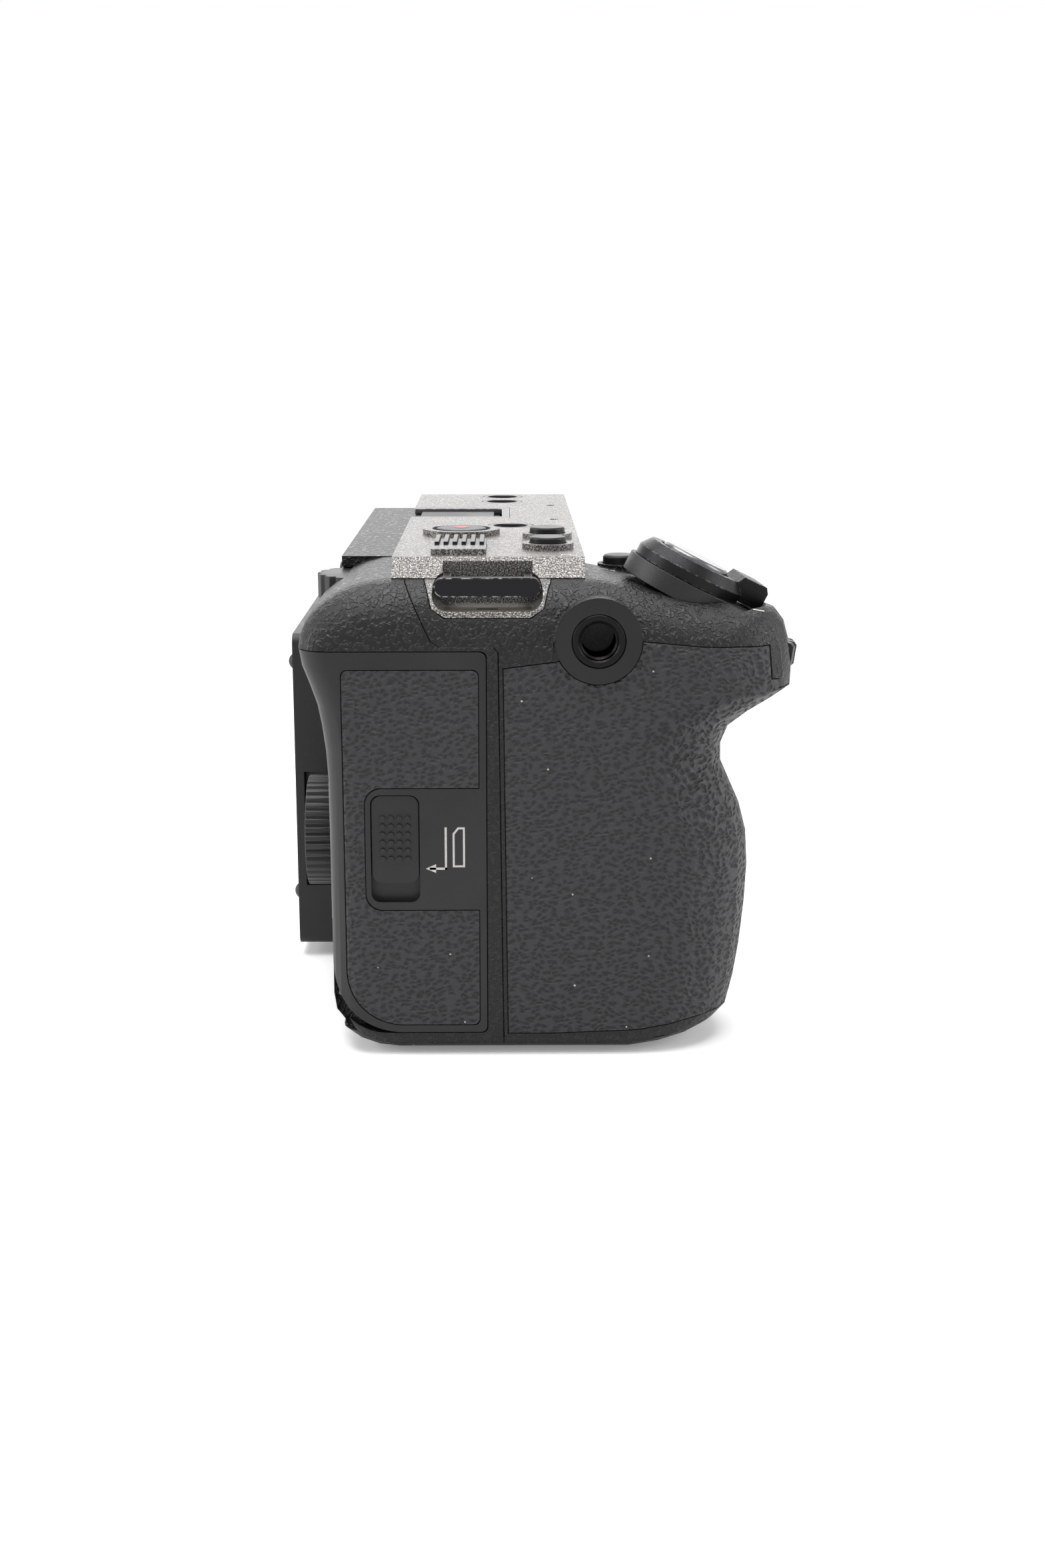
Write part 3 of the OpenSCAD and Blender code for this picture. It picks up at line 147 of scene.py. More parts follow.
for name, place, aim, size, power in (
        ("soft_box_overhead", (-0.05, 0.05, 0.9), (0, 0, 0.03), 0.8, 11.0),
        ("soft_box_behind", (1.1, 0.1, 0.6), (0, 0, 0.05), 1.1, 5.0),
        ("soft_box_left", (-0.1, 0.9, 0.38), (-0.05, 0, 0.04), 0.6, 5.0),
        ("soft_box_right", (-0.1, -0.9, 0.38), (-0.05, 0, 0.04), 0.6, 4.0)):
    lamp = bpy.data.lights.new(name, "AREA")
    lamp.size = size
    lamp.energy = power
    stand = bpy.data.objects.new(name, lamp)
    stand.location = place
    stand.rotation_euler = (Vector(aim) - Vector(place)).to_track_quat("-Z", "Y").to_euler()
    bpy.context.scene.collection.objects.link(stand)


# Frame: one die-cast magnesium frame that everything is screwed to. It is left as cast:
# plain, dull and slightly grainy.
mm = 0.001
body_of = {}
for body, members in frame["record"]["behaviour"]["bodies"].items():
    body_of.update((node, body) for node in members)


def finished(name, form, body, look, sharp=32):
    """A piece from its bmesh, smooth but for its sharp edges. It rides on its body, if named."""
    for edge in form.edges:
        edge.smooth = len(edge.link_faces) == 2 and edge.calc_face_angle() < radians(sharp)
    for face in form.faces:
        face.smooth = True
    mesh = bpy.data.meshes.new(name)
    form.to_mesh(mesh)
    form.free()
    mesh.materials.append(look)
    piece = bpy.data.objects.new(name, mesh)
    bpy.context.scene.collection.objects.link(piece)
    if body:
        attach(piece, body)
    return piece


weld_reach = 0.002


def dressed(node, look, edge=0.0, flat=0.6, sharp=32):
    """A copy of a CAD node with its facets joined and its edges eased, standing for it."""
    form = bmesh.new()
    form.from_mesh(frame["nodes"][node].data)
    bmesh.ops.remove_doubles(form, verts=form.verts, dist=weld_reach * mm)
    bmesh.ops.dissolve_limit(form, angle_limit=radians(flat), verts=form.verts, edges=form.edges)
    if edge:
        keen = [e for e in form.edges
                if len(e.link_faces) == 2 and e.calc_face_angle() > radians(sharp)]
        bmesh.ops.bevel(form, geom=keen, offset=edge * mm, affect="EDGES", segments=2,
                        profile=0.5, material=-1, clamp_overlap=True)
    piece = finished(node + "_finish", form, body_of[node], look, sharp)
    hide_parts(node)
    even = piece.modifiers.new("even_shading", "WEIGHTED_NORMAL")
    even.keep_sharp = True
    return piece


cloud_wide = 9


def moulded(name, colour, roughness, grain, depth, gloss=0.5, mottle=0.25, eased=0.0):
    """A moulded or painted surface, in mm. Its grain is drawn as coarse as it needs to show."""
    made, tree = surface(name)
    place = add(tree, "TexCoord").outputs["Object"]
    cloud = add(tree, "TexNoise", {"Vector": place, "Scale": 1 / (cloud_wide * mm), "Detail": 3.0})
    fine = add(tree, "TexNoise", {"Vector": place, "Scale": 1 / (grain * mm), "Detail": 2.0,
                                  "Roughness": 0.55})
    shade = add(tree, "MapRange", {0: cloud.outputs[0], 1: 0.35, 2: 0.65, 3: 1 - mottle,
                                   4: 1 + mottle})
    tint = add(tree, "VectorMath", {0: linear(colour)[:3], "Scale": shade.outputs[0]},
               operation="SCALE")
    rub = add(tree, "MapRange", {0: cloud.outputs[0], 1: 0.35, 2: 0.65, 3: roughness * 0.92,
                                 4: min(1, roughness * 1.08)})
    bump = add(tree, "Bump", {"Height": fine.outputs[0], "Distance": depth * mm})
    if eased:
        round_off = add(tree, "Bevel", {"Radius": eased * mm}, samples=4)
        tree.links.new(round_off.outputs[0], bump.inputs["Normal"])
    shader = add(tree, "BsdfPrincipled", {
        "Base Color": tint.outputs[0], "Roughness": rub.outputs[0],
        "Specular IOR Level": gloss, "Normal": bump.outputs[0]})
    add(tree, "OutputMaterial", {"Surface": shader.outputs[0]})
    return made


wear_and_highlight_wide, wear_and_highlight_patch = 0.3, 0.9


def metal(name, colour, roughness, grain, depth, eased=0.0, wear_and_highlight=None):
    """A bare or anodised metal, in mm. Its grain is drawn as coarse as it needs to show."""
    made, tree = surface(name)
    place = add(tree, "TexCoord").outputs["Object"]
    fine = add(tree, "TexNoise", {"Vector": place, "Scale": 1 / (grain * mm), "Detail": 3.0})
    rub = add(tree, "MapRange", {0: fine.outputs[0], 1: 0.3, 2: 0.7, 3: roughness * 0.8,
                                 4: min(1, roughness * 1.2)})
    bump = add(tree, "Bump", {"Height": fine.outputs[0], "Distance": depth * mm})
    inputs = {"Base Color": linear(colour), "Metallic": 1.0, "Roughness": rub.outputs[0],
              "Normal": bump.outputs[0]}
    if eased:
        round_off = add(tree, "Bevel", {"Radius": eased * mm}, samples=4)
        tree.links.new(round_off.outputs[0], bump.inputs["Normal"])
    if wear_and_highlight:
        # The wear lies in patches along the edges, where a rounded normal leaves the flat one; on
        # the strap lugs it also stands for a painted highlight along the edges.
        flat_way = add(tree, "NewGeometry")
        soft_way = add(tree, "Bevel", {"Radius": wear_and_highlight_wide * mm}, samples=4)
        turn = add(tree, "VectorMath", {0: soft_way.outputs[0], 1: flat_way.outputs["Normal"]},
                   operation="DOT_PRODUCT")
        keen = add(tree, "MapRange", {0: turn.outputs["Value"], 1: 0.995, 2: 0.95})
        patchy = add(tree, "TexNoise", {"Vector": place, "Scale": 1 / (wear_and_highlight_patch * mm),
                                        "Detail": 3.0})
        patchy = add(tree, "MapRange", {0: patchy.outputs[0], 1: 0.47, 2: 0.6})
        worn_and_lit = add(tree, "Math", {0: keen.outputs[0], 1: patchy.outputs[0]}, operation="MULTIPLY")
        tint = add(tree, "Mix", {0: worn_and_lit.outputs[0], 6: linear(colour), 7: linear(wear_and_highlight)},
                   data_type="RGBA")
        inputs["Base Color"] = tint.outputs[2]
    shader = add(tree, "BsdfPrincipled", inputs)
    add(tree, "OutputMaterial", {"Surface": shader.outputs[0]})
    return made


# As cast: dull light grey, slightly grainy, with no clear highlight.
cast_magnesium = metal("cast_magnesium", "8B8B8E", 0.55, 0.8, 0.03)
dressed("chassis", cast_magnesium)

# Light box, sensor and contacts: a flocked black plastic tunnel behind the mount, the sensor
# in its frame at the end of it, and a black strip of sprung contacts under the throat.

# Flock: near black from every side, with no highlight.
flocked_black = moulded("flocked_black_plastic", "0B0B0C", 0.95, 0.3, 0.05, gloss=0.15)
dressed("light_box", flocked_black)
dressed("mount_contacts", flocked_black)
dressed("sensor_module", flocked_black)

filter_glass, tree = surface("sensor_cover_glass")
# Coated cover glass over the silicon: near black, with a green to violet sheen.
place = add(tree, "TexCoord").outputs["Object"]
tilt = add(tree, "LayerWeight", {"Blend": 0.4})
tint = add(tree, "Mix", {0: tilt.outputs["Facing"], 6: linear("1B3A36"), 7: linear("3A2748")},
           data_type="RGBA")
weave = add(tree, "TexNoise", {"Vector": place, "Scale": 1 / (3 * mm), "Detail": 1.0})
rub = add(tree, "MapRange", {0: weave.outputs[0], 3: 0.04, 4: 0.09})
shader = add(tree, "BsdfPrincipled", {"Base Color": tint.outputs[2], "Roughness": rub.outputs[0],
                                      "Coat Weight": 1.0, "Coat Roughness": 0.02})
add(tree, "OutputMaterial", {"Surface": shader.outputs[0]})
sensor_wide, sensor_high, sensor_front = 36.6, 25.4, -9.3
glass_thick, glass_gap, glass_edge = 0.25, 0.02, 0.06
lens_z = 37


def block(size, middle, edge, steps=1):
    """A cuboid with eased edges: its size, middle and bevel in mm."""
    form = bmesh.new()
    bmesh.ops.create_cube(form, size=1)
    bmesh.ops.scale(form, verts=form.verts, vec=[side * mm for side in size])
    bmesh.ops.translate(form, verts=form.verts, vec=[way * mm for way in middle])
    bmesh.ops.bevel(form, geom=form.edges, offset=edge * mm, affect="EDGES", segments=steps,
                    profile=0.5, material=-1)
    return form


glass_y = sensor_front - glass_thick / 2 - glass_gap
form = block((sensor_wide, glass_thick, sensor_high), (0, glass_y, lens_z), glass_edge)
finished("sensor_glass", form, "body", filter_glass)

# Hard gold over nickel: a warm yellow with small sharp highlights.
gold = metal("gold_plate", "D9B15A", 0.25, 0.2, 0.002)
contact_count, contact_pitch, contact_ring, contact_r, contact_y = 10, 2.3, 19.2, 0.55, -21.35
for index in range(contact_count):
    turn = radians(-90) + (index - (contact_count - 1) / 2) * contact_pitch / contact_ring
    form = bmesh.new()
    bmesh.ops.create_uvsphere(form, u_segments=16, v_segments=8, radius=contact_r * mm)
    bmesh.ops.translate(form, verts=form.verts, vec=(
        contact_ring * cos(turn) * mm, contact_y * mm, (lens_z + contact_ring * sin(turn)) * mm))
    finished("mount_contact_pin_%02d" % (index + 1), form, "body", gold)

# Main board and heat sink: a green laminate with its parts, and a finned plate of plain
# aluminium pressed against it. Both sit inside the body.

# Laminate under solder resist: mottled dark green, half glossy.
laminate = moulded("glass_fibre_laminate", "14502F", 0.4, 1.2, 0.04, mottle=0.5)
# Extruded and left bare: pale, satin, with a fine grain.
fin_metal = metal("extruded_aluminium", "B9BABD", 0.35, 0.4, 0.01)
dressed("main_board", laminate)
dressed("heat_sink", fin_metal)

# Front cover: a cast magnesium shell in black wrinkle paint, a hard coat with a fine leathery
# bump that glints along its edges. It closes over the frame from the front.
lump_wide, lump_high, paint_grain, paint_edge = 0.75, 0.16, 0.22, 0.3
wrinkle_paint, tree = surface("black_wrinkle_paint")
# Baked wrinkle paint: soft lumps three quarters of a millimetre wide that glint in a row where
# the light grazes them, over a fine grain. Black and half glossy.
place = add(tree, "TexCoord").outputs["Object"]
lumps = add(tree, "TexNoise", {"Vector": place, "Scale": 1 / (lump_wide * mm), "Detail": 1.0,
                               "Distortion": 0.4})
lumps = add(tree, "MapRange", {0: lumps.outputs[0], 1: 0.46, 2: 0.64},
            interpolation_type="SMOOTHSTEP")
fine = add(tree, "TexNoise", {"Vector": place, "Scale": 1 / (paint_grain * mm), "Detail": 1.0})
height = add(tree, "Math", {0: fine.outputs[0], 1: 0.25, 2: lumps.outputs[0]},
             operation="MULTIPLY_ADD")
round_off = add(tree, "Bevel", {"Radius": paint_edge * mm}, samples=4)
bump = add(tree, "Bump", {"Height": height.outputs[0], "Distance": lump_high * mm,
                          "Normal": round_off.outputs[0]})
# Painted shade: the colour is darker between the lumps and paler on them.
tint = add(tree, "Mix", {0: lumps.outputs[0], 6: linear("121213"), 7: linear("1B1B1C")},
           data_type="RGBA")
rub = add(tree, "MapRange", {0: lumps.outputs[0], 3: 0.46, 4: 0.34})
shader = add(tree, "BsdfPrincipled", {"Base Color": tint.outputs[2], "Roughness": rub.outputs[0],
                                      "Specular IOR Level": 0.28, "Normal": bump.outputs[0]})
add(tree, "OutputMaterial", {"Surface": shader.outputs[0]})
dressed("front_cover", wrinkle_paint)

# Lens mount: a turned stainless ring held by four small screws, with three claws inside the
# throat that grip the lens, a white index dot, the release button and its spring lock pin.

# Fine turned: bright, neutral and smooth, with soft glints along its eased edges.
mount_steel = metal("turned_stainless_steel", "B4B4B6", 0.22, 0.5, 0.004, eased=0.15)
# Blackened: dark grey with a tight metal highlight.
screw_steel = metal("blackened_screw_steel", "3A3A3C", 0.35, 0.3, 0.004)
dressed("mount_bayonet", mount_steel, edge=0.12)
dressed("lens_lock_pin", mount_steel, edge=0.15)

claw_inner, claw_outer, claw_back, claw_front, claw_span = 21.2, 23.0, -20.6, -22.4, 46
for index, middle in enumerate((90, 210, 330)):
    form = bmesh.new()
    corners = [form.verts.new((radius * mm, depth * mm, 0)) for radius, depth in (
        (claw_inner, claw_back), (claw_inner, claw_front), (claw_outer, claw_front),
        (claw_outer, claw_back))]
    section = form.faces.new(corners)
    bmesh.ops.rotate(form, verts=form.verts, cent=(0, 0, 0),
                     matrix=Matrix.Rotation(radians(middle - claw_span / 2), 3, "Y"))
    bmesh.ops.spin(form, geom=[section], axis=(0, 1, 0), cent=(0, 0, 0),
                   angle=radians(claw_span), steps=14, use_merge=False)
    bmesh.ops.recalc_face_normals(form, faces=form.faces)
    bmesh.ops.translate(form, verts=form.verts, vec=(0, 0, lens_z * mm))
    finished("bayonet_claw_%d" % (index + 1), form, "body", mount_steel)


def pushed(form, faces, step):
    """Extrudes faces by a step in mm, and gives back the faces that moved."""
    made = bmesh.ops.extrude_face_region(form, geom=faces)["geom"]
    verts = [v for v in made if isinstance(v, bmesh.types.BMVert)]
    bmesh.ops.translate(form, verts=verts, vec=[way * mm for way in step])
    return [f for f in made if isinstance(f, bmesh.types.BMFace)]


def stood(form, place, way):
    """Turns a form that stands along Z to stand along way, at its place in mm."""
    turn = Vector((0, 0, 1)).rotation_difference(Vector(way)).to_matrix()
    bmesh.ops.rotate(form, verts=form.verts, cent=(0, 0, 0), matrix=turn)
    bmesh.ops.translate(form, verts=form.verts, vec=Vector(place) * mm)


# Shares of the head's radius: its rounded rim, then the arm, tip and notch of the cross.
rim_in, rim_rise, cross_in, cross_deep = 0.22, 0.12, 0.15, 0.45
arm_reach, tip_reach, notch_reach = 0.56, 0.5, 0.17
head_sides = 24


def screw(name, place, way, radius, height, look=screw_steel):
    """A pan-head screw with a cross recess: place in mm, its head standing along way."""
    form = bmesh.new()
    bmesh.ops.create_circle(form, cap_ends=True, segments=head_sides, radius=radius * mm)
    crown = pushed(form, form.faces[:], (0, 0, height))
    bmesh.ops.inset_region(form, faces=crown, thickness=rim_in * radius * mm,
                           depth=rim_rise * radius * mm)
    bmesh.ops.inset_region(form, faces=crown, thickness=cross_in * radius * mm)
    for vert in crown[0].verts:
        corner = round(atan2(vert.co.y, vert.co.x) * head_sides / (2 * pi)) % (head_sides // 4)
        reach = arm_reach if corner == 0 else tip_reach if corner in (1, 5) else notch_reach
        vert.co.xy = vert.co.xy.normalized() * reach * radius * mm
    pushed(form, crown, (0, 0, -cross_deep * radius))
    bmesh.ops.delete(form, geom=crown, context="FACES_ONLY")
    bmesh.ops.recalc_face_normals(form, faces=form.faces)
    stood(form, place, way)
    return finished(name, form, "body", look)


mount_screw_circle, mount_screw_y, mount_screw_r, mount_screw_high = 26, -23.45, 1.6, 0.35
for index, turn in enumerate((45, 135, 225, 315)):
    piece = screw("mount_screw_%d" % (index + 1),
                  (mount_screw_circle * cos(radians(turn)), mount_screw_y,
                   lens_z + mount_screw_circle * sin(radians(turn))),
                  (0, -1, 0), mount_screw_r, mount_screw_high, look=mount_steel)
    if index == 0:
        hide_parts("mount_screws")

# Polished black plastic: deep black with a wide soft highlight.
gloss_button = moulded("polished_black_abs", "101011", 0.42, 0.4, 0.01, gloss=0.3)
dressed("lens_release_button", gloss_button, edge=0.15)

white_ink, tree = surface("white_pad_print")
# Two-part ink, pad printed: a matt off-white, slightly uneven.
ink_speck = 0.4
place = add(tree, "TexCoord").outputs["Object"]
speck = add(tree, "TexNoise", {"Vector": place, "Scale": 1 / (ink_speck * mm), "Detail": 2.0})
rub = add(tree, "MapRange", {0: speck.outputs[0], 3: 0.55, 4: 0.75})
tint = add(tree, "Mix", {0: speck.outputs[0], 6: linear("A8A5A2"), 7: linear("CFCCC9")},
           data_type="RGBA")
shader = add(tree, "BsdfPrincipled", {"Base Color": tint.outputs[2], "Roughness": rub.outputs[0]})
add(tree, "OutputMaterial", {"Surface": shader.outputs[0]})


def thickened(name, form, to_place, body, look, thick):
    """A piece from a flat form, with its thickness in mm and the matrix that lays it down."""
    pushed(form, form.faces[:], (0, 0, thick))
    bmesh.ops.recalc_face_normals(form, faces=form.faces)
    bmesh.ops.transform(form, verts=form.verts, matrix=to_place)
    return finished(name, form, body, look)


def printed(name, corners, to_place, body, look=white_ink, thick=0.03, ring=0):
    """A printed mark from its outline in mm; with a ring, only a line that wide along its edge."""
    form = bmesh.new()
    shape = form.faces.new([form.verts.new((x * mm, y * mm, 0)) for x, y in corners])
    if ring:
        form.normal_update()
        bmesh.ops.inset_region(form, faces=[shape], thickness=ring * mm, use_boundary=True,
                               use_even_offset=True)
        bmesh.ops.delete(form, geom=[shape], context="FACES")
    return thickened(name, form, to_place, body, look, thick)


def disc(radius, count=32):
    """The corners of a round mark."""
    return [(radius * cos(2 * pi * k / count), radius * sin(2 * pi * k / count))
            for k in range(count)]


def ring_of(name, inner, outer, to_place, body, look, thick=0.03, count=48):
    """A flat ring between two radii in mm."""
    form = bmesh.new()
    for radius in (inner, outer):
        bmesh.ops.create_circle(form, segments=count, radius=radius * mm)
    bmesh.ops.bridge_loops(form, edges=form.edges[:])
    return thickened(name, form, to_place, body, look, thick)


def laid(place, across, up):
    """The matrix that lays a flat mark at a place in mm, its x along across and its y along up."""
    x_way, y_way = Vector(across).normalized(), Vector(up).normalized()
    grid = Matrix((x_way, y_way, x_way.cross(y_way))).transposed().to_4x4()
    return Matrix.Translation(Vector(place) * mm) @ grid


index_dot_r, index_dot_x, index_dot_y, index_dot_up = 1.1, -17.9, -24.2, 19.0
printed("mount_index_dot", disc(index_dot_r),
        laid((index_dot_x, index_dot_y, lens_z + index_dot_up), (1, 0, 0), (0, 0, 1)),
        "body")

# Base plate and tripod socket: a flat plate in the same wrinkle paint, and a steel bush with a
# camera thread, pitch 1.27 mm, pressed through it. Four black screws hold the plate.
dressed("base_plate", wrinkle_paint, edge=0.2)
# Machined and plain: mid grey and smooth, with a clear metal highlight.
bush_steel = metal("machined_steel_bush", "8D8C8A", 0.32, 0.4, 0.004)
thread_pitch, thread_bore, thread_deep, flank_in, flank_out = 1.27, 2.6, 0.45, 0.45, 0.55
rim_chamfer, mouth_chamfer, mouth_taper, lead_in = 0.15, 0.2, 0.1, 0.25
thread_end, bore_end, cone_end = 1.6, 1.5, 1.2


def threaded(name, node, place, way, outer, mouth, length, lip=1.0, look=bush_steel):
    """A bush with a blind thread, turned about its axis: place is its mouth's middle, in mm."""
    rim = [(outer, -length), (outer, -rim_chamfer), (outer - rim_chamfer, 0),
           (mouth + mouth_chamfer, 0), (mouth, -mouth_chamfer), (mouth - mouth_taper, -lip),
           (thread_bore, -lip - lead_in)]
    depth = lip + lead_in
    while depth + thread_pitch < length - thread_end:
        rim += [(thread_bore + thread_deep, -depth - flank_in * thread_pitch),
                (thread_bore + thread_deep, -depth - flank_out * thread_pitch),
                (thread_bore, -depth - thread_pitch)]
        depth += thread_pitch
    rim += [(thread_bore, -length + bore_end), (0, -length + cone_end)]
    form = bmesh.new()
    points = [form.verts.new((radius * mm, 0, z * mm)) for radius, z in rim + [(0, -length)]]
    edges = [form.edges.new(pair) for pair in zip(points, points[1:])]
    edges.append(form.edges.new((points[-1], points[0])))
    bmesh.ops.spin(form, geom=points + edges, axis=(0, 0, 1), cent=(0, 0, 0), angle=2 * pi,
                   steps=48, use_merge=True)
    bmesh.ops.remove_doubles(form, verts=form.verts, dist=weld_reach / 2 * mm)
    bmesh.ops.recalc_face_normals(form, faces=form.faces)
    stood(form, place, way)
    piece = finished(name, form, "body", look, sharp=25)
    if node:
        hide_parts(node)
    return piece


tripod_outer, tripod_mouth, tripod_long, tripod_lip = 6.2, 3.35, 8.0, 0.4
threaded("tripod_bush", "tripod_socket", (0, 0, 0), (0, 0, -1), tripod_outer, tripod_mouth,
         tripod_long, lip=tripod_lip)
base_screw_z, base_screw_r, base_screw_high = 0.45, 1.5, 0.3
for index, (x, y) in enumerate(((-38, -9), (40, -9), (-38, 12), (40, 12))):
    screw("base_screw_%d" % (index + 1), (x, y, base_screw_z), (0, 0, -1), base_screw_r,
          base_screw_high)

# Port side: a black plastic panel with its sockets behind three moulded rubber doors, the
# slatted air outlet and a second accessory thread.

# Spark-textured black plastic: satin, with a broad soft highlight and soft edges.
satin_plastic = moulded("satin_black_abs", "19191A", 0.46, 0.3, 0.02, gloss=0.34, eased=0.2)
# Moulded rubber: as black as the plastic but duller, with hardly a highlight.
door_rubber = moulded("soft_black_elastomer", "19191A", 0.68, 0.3, 0.03, gloss=0.35)
dressed("port_panel", satin_plastic)
dressed("outlet_grille", satin_plastic)
for node in ("mic_door", "hdmi_door", "usb_door"):
    dressed(node, door_rubber, edge=0.25)
accessory_outer, accessory_mouth, side_thread_long = 4.1, 3.0, 9.0
threaded("port_side_bush", "side_thread_left", (52.0, -14.6, 60), (1, 0, 0), accessory_outer,
         accessory_mouth, side_thread_long)

# Rear cover: the back shell, cast in magnesium and painted like the front, with the thumb rest
# and the seats of the rear controls. Three black screws hold it.
dressed("rear_cover", wrinkle_paint)
rear_screw_y, rear_screw_r, rear_screw_high = 16.0, 1.4, 0.35
for index, (x, z) in enumerate(((-30, 5.2), (45.5, 5.2), (45.5, 66))):
    screw("rear_screw_%d" % (index + 1), (x, rear_screw_y, z), (0, 1, 0), rear_screw_r,
          rear_screw_high)

# The foot beside the grip fills the corner between the base plate and the rounded rear cover.
foot_size, foot_middle, foot_edge = (6.4, 7.0, 6.2), (-42.75, 12.65, 4.3), 0.5
form = block(foot_size, foot_middle, foot_edge, steps=3)
finished("rear_cover_foot", form, "body", wrinkle_paint)

# The corner under the deck closes the port end of the cover along the same chamfer.
corner, corner_front, corner_long = ((44, 71.2), (50.2, 71.2), (47.8, 73.6), (44, 73.6)), -0.2, 12.8
form = bmesh.new()
front = form.faces.new([form.verts.new((x * mm, corner_front * mm, z * mm)) for x, z in corner])
pushed(form, [front], (0, corner_long, 0))
bmesh.ops.recalc_face_normals(form, faces=form.faces)
finished("rear_cover_corner", form, "body", wrinkle_paint)

# Rear controls: small buttons of satin black plastic, a knurled black wheel round its middle
# button, a rubber-topped joystick and the rear dial under the thumb.

# Finely textured black plastic: darker and a little shinier than the covers.
satin_button = moulded("satin_black_polycarbonate", "121213", 0.36, 0.4, 0.015, gloss=0.4)
for node in ("af_button", "function_button", "playback_button", "menu_button", "display_button",
             "wheel_button"):
    dressed(node, satin_button, edge=0.15)
dressed("joystick", door_rubber, edge=0.2)
# Knurled black plastic: half glossy, so that each rib catches its own thin light.
knurled_black = moulded("knurled_black_abs", "1A1A1B", 0.45, 0.3, 0.015, gloss=0.45)
dressed("control_wheel", knurled_black, edge=0.1)
dressed("rear_dial", knurled_black, edge=0.12)

# Monitor: a thin moulded shell on a two-way hinge arm, with a black glossy cover glass over
# the panel. The glass shows nothing while the camera is off.
dressed("monitor_arm", satin_plastic, edge=0.3)
dressed("monitor_shell", satin_plastic, edge=0.25)
cover_glass, tree = surface("monitor_cover_glass")
# Hard-coated glass over a dark panel: near black, sharp reflections, faint finger marks.
smear_wide = 14
place = add(tree, "TexCoord").outputs["Object"]
marks = add(tree, "TexNoise", {"Vector": place, "Scale": 1 / (smear_wide * mm), "Detail": 4.0})
rub = add(tree, "MapRange", {0: marks.outputs[0], 1: 0.4, 2: 0.7, 3: 0.05, 4: 0.16})
tint = add(tree, "Mix", {0: marks.outputs[0], 6: linear("060708"), 7: linear("0B0C0E")},
           data_type="RGBA")
shader = add(tree, "BsdfPrincipled", {"Base Color": tint.outputs[2], "Roughness": rub.outputs[0],
                                      "Coat Weight": 0.6, "Coat Roughness": 0.03})
add(tree, "OutputMaterial", {"Surface": shader.outputs[0]})
dressed("monitor_glass", cover_glass, edge=0.15)

# Grip: a solid moulding in wrinkle paint over the shoulder and the head, wrapped below them in
# moulded rubber with a fine leather grain that carries a few specks of dust.
dressed("grip_shell", wrinkle_paint, flat=0.3, sharp=40)
grain_wide, grain_high, grain_deep, grain_turn = 1.15, 0.8, 0.42, 9
wander_wide, wander_far, dust_apart = 3.5, 2.4, 2.6
leather, tree = surface("leather_grain_rubber")
# Moulded rubber: soft low sheen, pits a millimetre apart in loose rows between ridges; the pits are
# painted dark and the ridges pale, as painted shade.
# The pattern is drawn flat on the side and turned round the corner to the front of the grip.
coords = add(tree, "TexCoord")
place = coords.outputs["Object"]
way = add(tree, "SeparateXYZ", {0: coords.outputs["Normal"]})
turned = add(tree, "Math", {0: way.outputs["Y"]}, operation="ABSOLUTE")
turned = add(tree, "Math", {0: turned.outputs[0], 1: 0.72}, operation="GREATER_THAN")
wander = add(tree, "TexNoise", {"Vector": place, "Scale": 1 / (wander_wide * mm), "Detail": 2.0})
push = add(tree, "VectorMath", {0: wander.outputs["Color"], 1: (0.5, 0.5, 0.5)},
           operation="SUBTRACT")
push = add(tree, "VectorMath", {0: push.outputs[0], "Scale": wander_far * mm}, operation="SCALE")
bent = add(tree, "VectorMath", {0: place, 1: push.outputs[0]}, operation="ADD")
apart = add(tree, "SeparateXYZ", {0: bent.outputs[0]})
along = add(tree, "Mix", {0: turned.outputs[0], 2: apart.outputs["Y"], 3: apart.outputs["X"]})
flat = add(tree, "CombineXYZ", {0: along.outputs[0], 1: apart.outputs["Z"]})
grid = add(tree, "Mapping", {"Vector": flat.outputs[0], "Rotation": (0, 0, radians(grain_turn)),
                             "Scale": (1 / (grain_wide * mm), 1 / (grain_high * mm), 1)})
cells = add(tree, "TexVoronoi", {"Vector": grid.outputs[0], "Scale": 1.0, "Randomness": 0.9},
            voronoi_dimensions="2D", feature="F1")
pit = add(tree, "MapRange", {0: cells.outputs["Distance"], 1: 0.02, 2: 0.6},
          interpolation_type="SMOOTHSTEP")
crease = add(tree, "TexNoise", {"Vector": grid.outputs[0], "Scale": 2.2, "Detail": 2.0})
height = add(tree, "Math", {0: crease.outputs[0], 1: 0.7, 2: pit.outputs[0]},
             operation="MULTIPLY_ADD")
bump = add(tree, "Bump", {"Height": height.outputs[0], "Distance": grain_deep * mm})
# Painted shade: the colour runs from dark in the pits to paler on the ridges.
tint = add(tree, "Mix", {0: pit.outputs[0], 6: linear("111113"), 7: linear("212124")},
           data_type="RGBA")
dust = add(tree, "TexVoronoi", {"Vector": place, "Scale": 1 / (dust_apart * mm)}, feature="F1")
few = add(tree, "SeparateColor", {0: dust.outputs["Color"]})
few = add(tree, "Math", {0: few.outputs[0], 1: 0.93}, operation="GREATER_THAN")
tiny = add(tree, "Math", {0: dust.outputs["Distance"], 1: 0.06}, operation="LESS_THAN")
dusty = add(tree, "Math", {0: few.outputs[0], 1: tiny.outputs[0]}, operation="MULTIPLY")
tint = add(tree, "Mix", {0: dusty.outputs[0], 6: tint.outputs[2], 7: linear("B8B8B4")},
           data_type="RGBA")
rub = add(tree, "MapRange", {0: pit.outputs[0], 3: 0.7, 4: 0.48})
shader = add(tree, "BsdfPrincipled", {"Base Color": tint.outputs[2], "Roughness": rub.outputs[0],
                                      "Specular IOR Level": 0.45, "Normal": bump.outputs[0]})
add(tree, "OutputMaterial", {"Surface": shader.outputs[0]})
